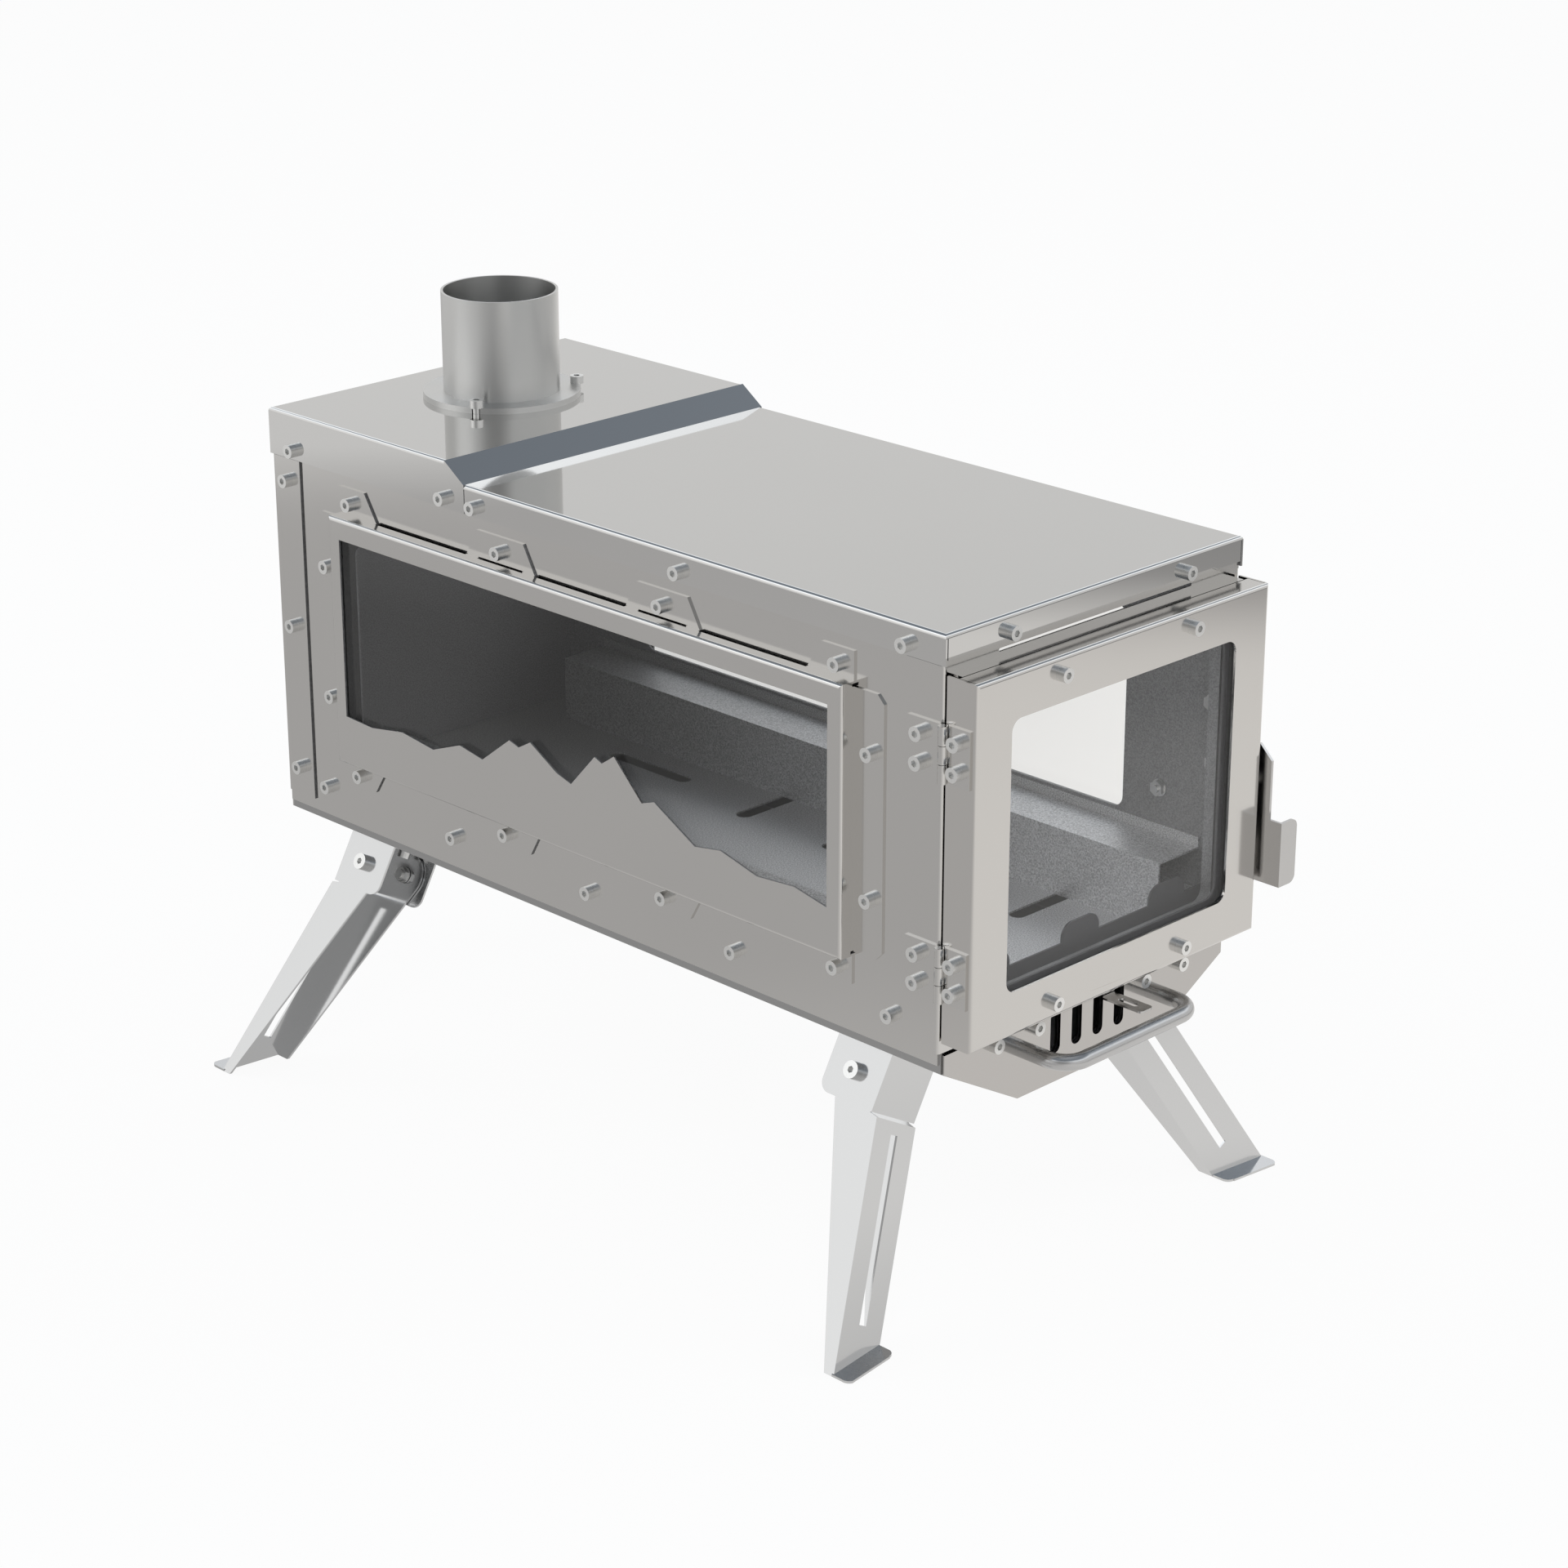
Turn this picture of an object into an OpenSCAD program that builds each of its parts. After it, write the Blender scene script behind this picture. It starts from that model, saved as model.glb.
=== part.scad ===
// Folding tent stove: bolted sheet casing, glazed front door and side windows,
// ash drawer under a grate, flue collar and four folding channel legs.
// X runs to the right seen from the door, Y runs to the rear, Z up.
// The origin is on the ground, under the middle of the whole outline.

/* [Casing] */
// Width of the casing over the side panels
body_w = 200; // [180:1:260]
// Length of the casing between the front and rear plates
body_l = 465; // [440:1:520]
// Height of the front deck over the lower edge of the side panels
deck_h = 204; // [200:1:230]
// How much higher the rear deck is than the front deck
rear_raise = 9.6; // [4:0.2:16]
// Distance from the rear panel to the front end of the ramp between the decks
ramp_in = 150; // [140:1:160]
// Run of the ramp
ramp_run = 14; // [8:1:20]
// Thickness of the casing sheet
sheet = 1; // [0.8:0.1:1.2]
// Outer radius of the sheet bends
bend_r = 2; // [1.5:0.1:2.5]
// Depth of the cover's side skirts under the front deck
skirt_h = 14.5; // [12:0.5:16]
// Depth of the cover's end skirts under the front deck
end_skirt_h = 12; // [11:0.5:14]
// Clearance between nested sheets
sheet_play = 0.2; // [0.1:0.05:0.3]

/* [Hopper] */
// Depth of the belly under the lower edge of the side panels
belly_drop = 33; // [26:1:40]
// How far in from the casing side the flat belly floor starts
belly_in = 52; // [46:1:58]
// Height of the hopper flange inside the side panels
hopper_flange = 24; // [22:1:27]
// Drop of the side wall before the slope starts
side_lip = 4.2; // [3:0.2:6]

/* [Front frame] */
// Lower edge of the front frame
frame_z = 6; // [5.5:0.5:8]
// Length of the side flange that wraps round the side panels
wrap_l = 22; // [18:1:26]
// How far in from the casing side the firebox opening lip stands
lip_in = 18; // [16:1:24]
// Lower edge of the opening lip
lip_z0 = 27; // [26.5:0.5:30]
// Distance from the front deck down to the upper edge of the opening lip
lip_top_in = 34; // [33:1:44]
// How far the lip stands forward of the frame
lip_l = 6; // [4:0.5:6]

/* [Door] */
// Lower edge of the door
door_z0 = 11.8; // [10:0.2:13]
// Distance from the front deck down to the upper edge of the door
door_top_in = 18.8; // [18.4:0.1:19.5]
// Distance from the casing front edge to the door face
door_face_y = 19.6; // [19.2:0.1:21]
// Gap between the door flange and the casing front edge
door_back_gap = 2.1; // [2:0.1:3]
// Thickness of the door sheet
door_sheet = 1.2; // [1:0.1:1.4]
// Width of the door sheet on either side of its window
door_side_w = 23; // [21:0.5:30]
// Height of the door sheet under its window
door_low_w = 21.7; // [19.2:0.1:28]
// Height of the door sheet over its window
door_high_w = 21.7; // [21.2:0.1:35]
// Thickness of the glass panes
glass_t = 4; // [3:0.1:4]

/* [Side windows] */
// How far in from the casing ends the window frame stands
win_in = 52.5; // [50.5:0.5:67.5]
// Lower edge of the window frame face
win_z0 = 37.7; // [36:0.1:40]
// Distance from the front deck down to the upper edge of the window frame
win_top_in = 34.5; // [33:0.1:39]
// How far the frame face stands off the side panel
win_depth = 9; // [8.4:0.1:11]
// Width of the window frame face at its two ends
win_end_w = 8.5; // [7:0.5:24]
// Height of the left window frame face under its opening
win_low_w = 23.8; // [20.3:0.1:28.3]
// Height of the right window frame face under its opening
plain_low_w = 10.3; // [9.5:0.1:20]
// Height of the window frame face over its opening
win_high_w = 11; // [9.5:0.1:19.5]

/* [Flue] */
// Distance of the flue centre from the rear panel
flue_in = 62.3; // [55:0.1:70]
// Outer diameter of the flue tube
flue_d = 60; // [50:1:64]
// Wall of the flue tube
flue_wall = 1.3; // [1:0.1:1.6]
// Height of the flue tube over the rear deck
flue_h = 55; // [40:1:70]
// Outer diameter of the collar ring
collar_d = 81; // [79:1:84]
// Thickness of the collar ring
collar_t = 3; // [2:0.1:4]

/* [Legs] */
// Height of the side panels over the ground
foot_drop = 140; // [134:1:148]
// How far in from the casing side the leg brackets start
leg_inset = 15; // [14:1:20]
// Width of the bracket channel
bracket_w = 33; // [31:0.5:34]
// Height of the bracket channel
bracket_h = 28.7; // [28:0.1:30]
// Length of the bracket along the casing
bracket_l = 34; // [34:0.5:36]
// Sheet of the legs and brackets
leg_sheet = 1.2; // [1:0.1:1.4]
// Distance from the front edge to the middle of the front brackets
front_leg_y = 58.2; // [54:0.1:66]
// Distance from the rear edge to the middle of the rear brackets
rear_leg_y = 49; // [45:0.1:56]
// Splay of the legs along the casing, in degrees
splay_a = 13.9; // [12:0.1:16]
// Length of the foot pad
toe_l = 10; // [8:0.5:12]

/* [Ash drawer] */
// Half width of the drawer handle over its rod centre
handle_half_w = 46; // [44:0.5:48]
// Reach of the handle in front of the casing front edge
handle_reach = 34; // [28:1:40]
// Diameter of the handle rod
rod_d = 8; // [6:0.5:8]
// Spacing of the air slots
slot_pitch = 15; // [14.6:0.1:15.4]
// Width of the air slots
slot_w = 7; // [6:0.1:7]

/* [Hidden] */
$fn = 48;
cut = 1;
hair = 0.05;

// Overall places
half_w = body_w / 2;
body_mid = body_l / 2;
cover_x = half_w + sheet_play + sheet;
cover_y0 = -(2 * sheet + sheet_play);
cover_y1 = body_l + 2 * sheet + sheet_play;
rear_deck_h = deck_h + rear_raise;
ramp_front = body_l - ramp_in;
ramp_back = ramp_front + ramp_run;
skirt_z = deck_h - skirt_h;
end_skirt_z = deck_h - end_skirt_h;
skirt_gap = 0.2;
wrap_top = skirt_z - skirt_gap;
flue_y = body_l - flue_in;

// Places of the openings, the door and the windows
lip_half_w = half_w - lip_in;
lip_z1 = deck_h - lip_top_in;
door_w = body_w;
door_z1 = deck_h - door_top_in;
door_win_w = door_w - 2 * door_side_w;
door_win_z0 = door_z0 + door_low_w;
door_win_z1 = door_z1 - door_high_w;
win_l = body_l - 2 * win_in;
win_z1 = deck_h - win_top_in;
pane_l = win_l - 2 * win_end_w;
pane_z0 = win_z0 + win_low_w;
plain_z0 = win_z0 + plain_low_w;
pane_z1 = win_z1 - win_high_w;

// Fasteners: socket head screws with flanged nuts
screw_d = 4;
head_d = 7;
head_h = 4;
socket_af = 3;
socket_deep = 2.2;
screw_hole_play = 0.3;
screw_hole_d = screw_d + screw_hole_play;
nut_af = 7;
nut_h = 3.2;
nut_rim_d = 8.6;
nut_rim_h = 0.8;
nut_tail = 1.2;
hex_turn = 30;

// Rows of screws along the casing
cover_screw_drop = 9.5;
cover_screw_front = 21;
cover_screw_rear = 17;
ramp_screw_front = 8;
ramp_screw_rear = 1;
cover_screw_z = deck_h - cover_screw_drop;
cover_screw_ys = [cover_screw_front, (cover_screw_front + ramp_front - ramp_screw_front) / 2,
    ramp_front - ramp_screw_front, ramp_back + ramp_screw_rear, body_l - cover_screw_rear];
cover_end_screw_in = 40;
cover_end_screw_drop = 8.2;
cover_end_screw_x = half_w - cover_end_screw_in;
cover_end_screw_z = deck_h - cover_end_screw_drop;
casing_screw_z = 16.2;
casing_screw_front = 28.5;
casing_screw_rear = 33;
casing_screw_gaps = 4;
casing_screw_pitch = (body_l - casing_screw_front - casing_screw_rear) / casing_screw_gaps;
casing_screw_ys = [for (i = [0:casing_screw_gaps]) casing_screw_front + i * casing_screw_pitch];
rear_screw_inset = 11;
rear_screw_low = 21.6;
rear_screw_drop = 26.4;
rear_screw_mid = (rear_screw_low + deck_h - rear_screw_drop) / 2;
rear_screw_zs = [rear_screw_low, rear_screw_mid, deck_h - rear_screw_drop];
frame_screw_y = 11;
frame_screw_low = 20;
latch_pivot_z = 86;
latch_screw_rise = 34;
frame_screw_drop = 39;
frame_screw_zs = [frame_screw_low, latch_pivot_z + latch_screw_rise, deck_h - frame_screw_drop];

// Slope of the hopper
hopper_x = half_w - sheet;
belly_half = half_w - belly_in;
slope_a = atan((belly_drop - side_lip) / (hopper_x - belly_half));
function slope_x(z, in) = hopper_x + (z + side_lip - in / cos(slope_a)) / tan(slope_a);
function slope_z(x, in) = (x - hopper_x) * tan(slope_a) - side_lip + in / cos(slope_a);

// Leg geometry, in the plane that stands square on the hopper slope
bolt_drop = bracket_h / 2;
leg_play = 0.3;
leg_w = bracket_w - 2 * (leg_sheet + leg_play);
web_off = 15.5;
web_start = 20;
ear_r = 12.6;
pivot_d = 5;
pivot_play = 0.1;
pivot_head_d = 8.5;
pivot_head_h = 4;
root_x = half_w - leg_inset;
root_z = slope_z(root_x, 0);
foot_s = (foot_drop + root_z) / cos(slope_a);
leg_slot_w = 5;
leg_slot_from = 26;
leg_slot_l = 88;
// Distance from the pivot to the web at the ground, along the casing
function toe_y(s) = (web_off + (s - bolt_drop) * sin(splay_a)) / cos(splay_a);
foot_x0 = leg_sheet + leg_play;
foot_y = toe_y(foot_s - foot_x0 * tan(slope_a));
inner_foot_y = toe_y(foot_s - (foot_x0 + leg_w) * tan(slope_a));
toe_r = 4;

// The whole outline along the casing sets the origin
y_min = -handle_reach;
y_max = body_l - rear_leg_y + foot_y + toe_l;
frame_mid_y = (y_min + y_max) / 2;

module at_body() { translate([0, -frame_mid_y, foot_drop]) children(); }
module other_side() { mirror([1, 0, 0]) children(); }
module both_sides() {
    children();
    other_side() children();
}
// Turns a flat outline so that its X lies along the casing and its Y stands up
module upright(x, t) { translate([x, 0, 0]) rotate([90, 0, 90]) linear_extrude(t) children(); }
// Turns a flat outline so that it stands across the casing, from y towards the rear
module across(y, t) {
    translate([0, y + t, 0]) rotate([90, 0, 0]) linear_extrude(t) children();
}
// Points outwards from the right side, the front and the rear
module face_right(x, y, z) { translate([x, y, z]) rotate([0, 90, 0]) children(); }
module face_front(x, y, z) { translate([x, y, z]) rotate([90, 0, 0]) children(); }
module face_rear(x, y, z) { translate([x, y, z]) rotate([-90, 0, 0]) children(); }

module socket_screw(grip) {
    difference() {
        union() {
            cylinder(h = head_h, d = head_d);
            translate([0, 0, -grip]) cylinder(h = grip + hair, d = screw_d);
        }
        translate([0, 0, head_h - socket_deep])
            cylinder(h = socket_deep + cut, d = socket_af / cos(hex_turn), $fn = 6);
    }
}
module flange_nut(bore) {
    difference() {
        union() {
            cylinder(h = nut_h, d = nut_af / cos(hex_turn), $fn = 6);
            cylinder(h = nut_rim_h, d = nut_rim_d);
        }
        translate([0, 0, -cut]) cylinder(h = nut_h + 2 * cut, d = bore);
    }
}
// A screw through a stack of sheets, with its nut behind it
module bolt_pair(stack) {
    socket_screw(stack + nut_h + nut_tail);
    translate([0, 0, -stack]) mirror([0, 0, 1]) flange_nut(screw_d + 2 * hair);
}
module screw_bore(depth) {
    translate([0, 0, -depth]) cylinder(h = depth + cut, d = screw_hole_d);
}

// A rectangle with rounded corners, centred across and standing on y0
module round_rect(w, y0, y1, r) {
    translate([-w / 2 + r, y0]) square([w - 2 * r, y1 - y0]);
    translate([-w / 2, y0 + r]) square([w, y1 - y0 - 2 * r]);
    for (x = [-w / 2 + r, w / 2 - r], y = [y0 + r, y1 - r]) translate([x, y]) circle(r);
}
// A slot with round ends between two points
module long_slot(x0, y0, x1, y1, w) {
    run = norm([x1 - x0, y1 - y0]);
    translate([x0, y0]) rotate(atan2(y1 - y0, x1 - x0)) {
        translate([0, -w / 2]) square([run, w]);
        circle(d = w);
        translate([run, 0]) circle(d = w);
    }
}
// Rounds an outer corner: the piece to take off a square edge
module corner_bite(r) {
    difference() {
        square([r + cut, r + cut]);
        circle(r);
    }
}

// Places of the casing fasteners, on the right side
module cover_side_places() {
    for (y = cover_screw_ys) face_right(cover_x, y, cover_screw_z) children();
}
module cover_end_places() {
    for (x = [-cover_end_screw_x, cover_end_screw_x]) {
        face_front(x, cover_y0, cover_end_screw_z) children();
        face_rear(x, cover_y1, cover_end_screw_z) children();
    }
}
module casing_places() {
    for (y = casing_screw_ys) face_right(half_w, y, casing_screw_z) children();
}
module rear_places() {
    for (z = rear_screw_zs) face_right(half_w + sheet, body_l - rear_screw_inset, z) children();
}
module frame_places() {
    for (z = frame_screw_zs) face_right(half_w + sheet, frame_screw_y, z) children();
}

// Side panels
panel_win_margin = 3.5;
panel_win_r = 6;
module side_outline() {
    top = deck_h - sheet - sheet_play;
    polygon([[0, 0], [body_l, 0], [body_l, top + rear_raise], [ramp_back, top + rear_raise],
        [ramp_front, top], [0, top]]);
}
module side_panel() {
    color("#989693") difference() {
        upright(half_w - sheet, sheet) difference() {
            side_outline();
            translate([body_mid, 0])
                round_rect(pane_l - 2 * panel_win_margin, plain_z0 + panel_win_margin,
                    pane_z1 - panel_win_margin, panel_win_r);
        }
        cover_side_places() screw_bore(cover_x - half_w + 2 * sheet);
        casing_places() screw_bore(2 * sheet);
        rear_places() screw_bore(3 * sheet);
        window_places() screw_bore(3 * sheet);
        children();
    }
}
module left_side_panel() { at_body() other_side() side_panel() hinge_body_bores(); }
module right_side_panel() {
    at_body() side_panel() {
        frame_places() screw_bore(3 * sheet);
        keeper_bore();
    }
}

// Front frame: a plate with wrapped sides, an opening lip and a ledge over the door
frame_bore_r = 6;
ledge_in = 4;
ledge_half_w = half_w - ledge_in;
ledge_l = 6.4;
air_slot_in = 35;
air_slot_half = half_w - air_slot_in;
air_slot_h = 1.6;
air_slot_drop = 15.6;
air_slot_z = deck_h - air_slot_drop;
lip_out = 1;
module frame_wrap(inner) {
    x = half_w + (inner ? 0 : sheet);
    y = inner ? 0 : -sheet;
    difference() {
        translate([-x, y]) square([2 * x, wrap_l + cut * (inner ? 1 : 0)]);
        if (!inner) for (s = [-1, 1])
            translate([s * (x - bend_r), y + bend_r]) rotate(s > 0 ? -90 : 180)
                corner_bite(bend_r);
    }
}
module front_frame() {
    opening_w = 2 * (lip_half_w - lip_out);
    at_body() color("#c6c2be") difference() {
        union() {
            translate([0, 0, frame_z]) linear_extrude(wrap_top - frame_z) difference() {
                frame_wrap(false);
                frame_wrap(true);
            }
            translate([-half_w, -sheet, wrap_top - sheet])
                cube([body_w, sheet, deck_h - bend_r - wrap_top + sheet]);
            across(-sheet - lip_l, lip_l + hair)
                round_rect(2 * lip_half_w, lip_z0, lip_z1, frame_bore_r + lip_out);
            translate([-ledge_half_w, -sheet - ledge_l, door_z1 - sheet])
                cube([2 * ledge_half_w, ledge_l + hair, sheet]);
        }
        across(-sheet - lip_l - cut, lip_l + sheet + 2 * cut)
            round_rect(opening_w, lip_z0 + lip_out, lip_z1 - lip_out, frame_bore_r);
        across(-sheet - cut, sheet + 2 * cut)
            long_slot(-air_slot_half, air_slot_z, air_slot_half, air_slot_z, air_slot_h);
        cover_end_places() screw_bore(cut + 4 * sheet);
        frame_places() screw_bore(3 * sheet);
        keeper_bore();
        other_side() hinge_body_bores();
    }
}

// Rear panel: closes the rear and the end of the belly
module belly_outline(in) {
    top = -side_lip;
    polygon([[hopper_x - in, top + cut], [slope_x(-belly_drop + in, in), -belly_drop + in],
        [-slope_x(-belly_drop + in, in), -belly_drop + in], [-hopper_x + in, top + cut]]);
}
module rear_panel() {
    at_body() color("#989693") difference() {
        union() {
            translate([0, body_l, frame_z]) mirror([0, 1, 0])
                linear_extrude(wrap_top - frame_z) difference() {
                    frame_wrap(false);
                    frame_wrap(true);
                }
            translate([-half_w, body_l, wrap_top - sheet])
                cube([body_w, sheet, rear_deck_h - bend_r - wrap_top + sheet]);
            translate([-hopper_x, body_l, -side_lip])
                cube([2 * hopper_x, sheet, frame_z + side_lip + sheet]);
            across(body_l, sheet) belly_outline(0);
        }
        cover_end_places() screw_bore(cut + 4 * sheet);
        both_sides() rear_places() screw_bore(3 * sheet);
    }
}

// Top cover: two decks, a ramp and skirts down all four sides
seam_w = 0.6;
module cover_profile(in) {
    y0 = cover_y0 + in;
    y1 = cover_y1 - in;
    r = in > 0 ? bend_r - sheet : bend_r;
    difference() {
        polygon([[y0, skirt_z - cut * in], [y0, deck_h - in], [ramp_front, deck_h - in],
            [ramp_back, rear_deck_h - in], [y1, rear_deck_h - in], [y1, skirt_z - cut * in]]);
        translate([y0 + r, deck_h - in - r]) rotate(90) corner_bite(r);
        translate([y1 - r, rear_deck_h - in - r]) corner_bite(r);
    }
}
module cover_edge_rounds() {
    translate([cover_x - bend_r, ramp_front, deck_h - bend_r])
        rotate([90, 0, 0]) linear_extrude(ramp_front - cover_y0 + cut) corner_bite(bend_r);
    translate([cover_x - bend_r, cover_y1 + cut, rear_deck_h - bend_r])
        rotate([90, 0, 0]) linear_extrude(cover_y1 + cut - ramp_back) corner_bite(bend_r);
}
module cover_seams() {
    inner_x = half_w + sheet_play;
    for (y = [cover_y0 - cut, cover_y1 - sheet - cut])
        translate([-inner_x, y, skirt_z - cut])
            cube([2 * inner_x, sheet + 2 * cut, end_skirt_z - skirt_z + cut]);
    for (s = [-1, 1]) {
        translate([s * inner_x - (s > 0 ? seam_w : 0), cover_y0 - cut, skirt_z - cut])
            cube([seam_w, sheet + 2 * cut, deck_h - bend_r - skirt_z + cut]);
        translate([s * inner_x - (s > 0 ? seam_w : 0), cover_y1 - sheet - cut, skirt_z - cut])
            cube([seam_w, sheet + 2 * cut, rear_deck_h - bend_r - skirt_z + cut]);
        translate([s * inner_x - (s > 0 ? cut : sheet + cut), ramp_front - seam_w, skirt_z - cut])
            cube([sheet + 2 * cut, seam_w, deck_h - bend_r - skirt_z + cut]);
    }
}
flue_bore_d = flue_d - 2 * flue_wall;
module top_cover() {
    at_body() color("#c0c0be") difference() {
        upright(-cover_x, 2 * cover_x) cover_profile(0);
        upright(-cover_x + sheet, 2 * (cover_x - sheet)) cover_profile(sheet);
        both_sides() cover_edge_rounds();
        cover_seams();
        both_sides() cover_side_places() screw_bore(2 * sheet);
        cover_end_places() screw_bore(2 * sheet);
        translate([0, flue_y, deck_h - cut]) cylinder(h = rear_raise + 2 * cut, d = flue_bore_d);
        translate([0, flue_y, 0]) flue_places() screw_bore(collar_t + 2 * sheet);
    }
}

// Ash hopper: flat belly with sloped sides and upright flanges
module hopper_profile() {
    top = hopper_flange;
    in_x = hopper_x - sheet;
    difference() {
        polygon([[hopper_x, top], [hopper_x, -side_lip], [belly_half, -belly_drop],
            [-belly_half, -belly_drop], [-hopper_x, -side_lip], [-hopper_x, top]]);
        polygon([[in_x, top + cut], [in_x, slope_z(in_x, sheet)],
            [slope_x(-belly_drop + sheet, sheet), -belly_drop + sheet],
            [-slope_x(-belly_drop + sheet, sheet), -belly_drop + sheet],
            [-in_x, slope_z(in_x, sheet)], [-in_x, top + cut]]);
    }
}
module ash_hopper() {
    at_body() color("#8f8e8c") difference() {
        union() {
            across(0, body_l) hopper_profile();
            intersection() {
                across(-sheet, sheet + hair) hopper_profile();
                translate([-body_w, -body_l, -belly_drop - cut])
                    cube([2 * body_w, 2 * body_l, belly_drop + frame_z - sheet_play + cut]);
            }
        }
        both_sides() {
            casing_places() screw_bore(4 * sheet);
            rear_places() screw_bore(4 * sheet);
            frame_places() screw_bore(4 * sheet);
            all_bracket_places() bracket_screw_places() screw_bore(4 * leg_sheet);
        }
    }
}

// Grate floor: a tray with slots that drop ash into the drawer
grate_z = 9;
grate_flange = 15;
grate_gap = 1;
grate_slot_w = 9;
grate_slot_l = 46;
grate_slot_in = 44;
grate_slot_x = half_w - grate_slot_in;
grate_cross_shares = [0.164, 0.297, 0.43, 0.563];
grate_cross_ys = [for (share = grate_cross_shares) share * body_l];
grate_long_in = 50;
grate_long_xs = [grate_long_in - half_w, 0, half_w - grate_long_in];
grate_long_from_rear = 144;
grate_long_l = 51;
grate_long_y0 = body_l - grate_long_from_rear;
grate_long_y1 = grate_long_y0 + grate_long_l;
module grate_floor() {
    x = hopper_x - sheet;
    reach = grate_slot_l / 2 - grate_slot_w / 2;
    at_body() color("#7d7e80") difference() {
        translate([-x, grate_gap, grate_z])
            cube([2 * x, body_l - 2 * grate_gap, grate_flange]);
        translate([-x + sheet, -cut, grate_z + sheet])
            cube([2 * (x - sheet), body_l + 2 * cut, grate_flange]);
        translate([0, 0, grate_z - cut]) linear_extrude(sheet + 2 * cut) {
            for (y = grate_cross_ys, s = [-1, 1])
                long_slot(s * grate_slot_x - reach, y, s * grate_slot_x + reach, y, grate_slot_w);
            for (x = grate_long_xs) long_slot(x, grate_long_y0, x, grate_long_y1, grate_slot_w);
        }
        both_sides() {
            casing_places() screw_bore(5 * sheet);
            rear_places() screw_bore(5 * sheet);
            frame_places() screw_bore(5 * sheet);
        }
    }
}

// Log rails: folded rests along both sides of the firebox
rail_in = 31;
rail_h = 35;
rail_front = 16;
rail_rear_gap = 30;
rail_foot = 12;
rail_relief = 6;
module log_rail() {
    x0 = half_w - rail_in;
    x1 = half_w - sheet;
    z0 = grate_z + sheet;
    color("#77797b") difference() {
        translate([0, rail_front, 0]) across(0, body_l - rail_front - rail_rear_gap) union() {
            translate([x0, z0]) square([sheet, rail_h]);
            translate([x0, z0 + rail_h - sheet]) square([x1 - x0, sheet]);
            translate([x0, z0]) square([rail_foot, sheet]);
            translate([x1 - sheet, z0 + rail_h - sheet]) square([sheet, rail_relief]);
        }
        window_places() screw_bore(4 * sheet);
    }
}
module left_log_rail() { at_body() other_side() log_rail(); }
module right_log_rail() { at_body() log_rail(); }

// Front log guard: a low plate with rounded tabs behind the door
guard_y = 5;
guard_in = 10;
guard_half_w = half_w - guard_in;
guard_h = 22;
guard_tab_h = 9;
guard_tab_r = 7;
guard_tab_w = 26;
guard_tab_in = 38;
guard_tab_x = half_w - guard_tab_in;
guard_tab_xs = [-guard_tab_x, 0, guard_tab_x];
guard_slot_xs = [-guard_tab_x / 2, guard_tab_x / 2];
guard_slot_l = 34;
guard_slot_w = 4;
guard_foot = 9;
module front_log_guard() {
    z0 = grate_z + sheet;
    at_body() color("#5d5e60") union() {
        across(guard_y, sheet) difference() {
            union() {
                translate([-guard_half_w, z0]) square([2 * guard_half_w, guard_h]);
                for (x = guard_tab_xs)
                    translate([x, 0])
                        round_rect(guard_tab_w, z0 + guard_h - guard_tab_h,
                            z0 + guard_h + guard_tab_h, guard_tab_r);
            }
            for (x = guard_slot_xs)
                long_slot(x - guard_slot_l / 2, z0 + guard_h / 2, x + guard_slot_l / 2,
                    z0 + guard_h / 2, guard_slot_w);
        }
        translate([-rail_clear(), guard_y, z0]) cube([2 * rail_clear(), guard_foot, sheet]);
    }
}
function rail_clear() = half_w - rail_in - 2 * sheet;

// Smoke baffle: makes the gas travel round the rear before the flue
baffle_drop = 20;
baffle_ramp_gap = 7;
baffle_z = deck_h - baffle_drop;
baffle_y0 = ramp_front + baffle_ramp_gap;
baffle_rear_gap = 40;
baffle_flange = 5.5;
module smoke_baffle() {
    x = half_w - sheet;
    run = body_l - baffle_rear_gap - baffle_y0;
    at_body() color("#6a6b6d") difference() {
        translate([-x, baffle_y0, baffle_z]) cube([2 * x, run, baffle_flange]);
        translate([-x + sheet, baffle_y0 - cut, baffle_z + sheet])
            cube([2 * (x - sheet), run + 2 * cut, baffle_flange]);
    }
}

// Flue collar: a ring with notched edge and a straight tube
flue_screw_r = 39.3;
flue_screw_as = [-30, 90, 210];
module flue_places() {
    for (a = flue_screw_as)
        rotate(a) translate([flue_screw_r, 0, rear_deck_h + collar_t]) children();
}
module flue_collar() {
    at_body() color("#a9a9a8") translate([0, flue_y, 0]) difference() {
        union() {
            translate([0, 0, rear_deck_h]) cylinder(h = collar_t, d = collar_d);
            translate([0, 0, rear_deck_h]) cylinder(h = flue_h, d = flue_d);
        }
        translate([0, 0, rear_deck_h - cut]) cylinder(h = flue_h + 2 * cut, d = flue_bore_d);
        flue_places() {
            screw_bore(collar_t + cut);
            translate([0, -screw_hole_d / 2, -collar_t - cut])
                cube([collar_d, screw_hole_d, collar_t + 2 * cut]);
        }
    }
}
module flue_screws() {
    at_body() color("#cfcfce") translate([0, flue_y, 0]) flue_places()
        bolt_pair(collar_t + sheet);
}

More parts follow.
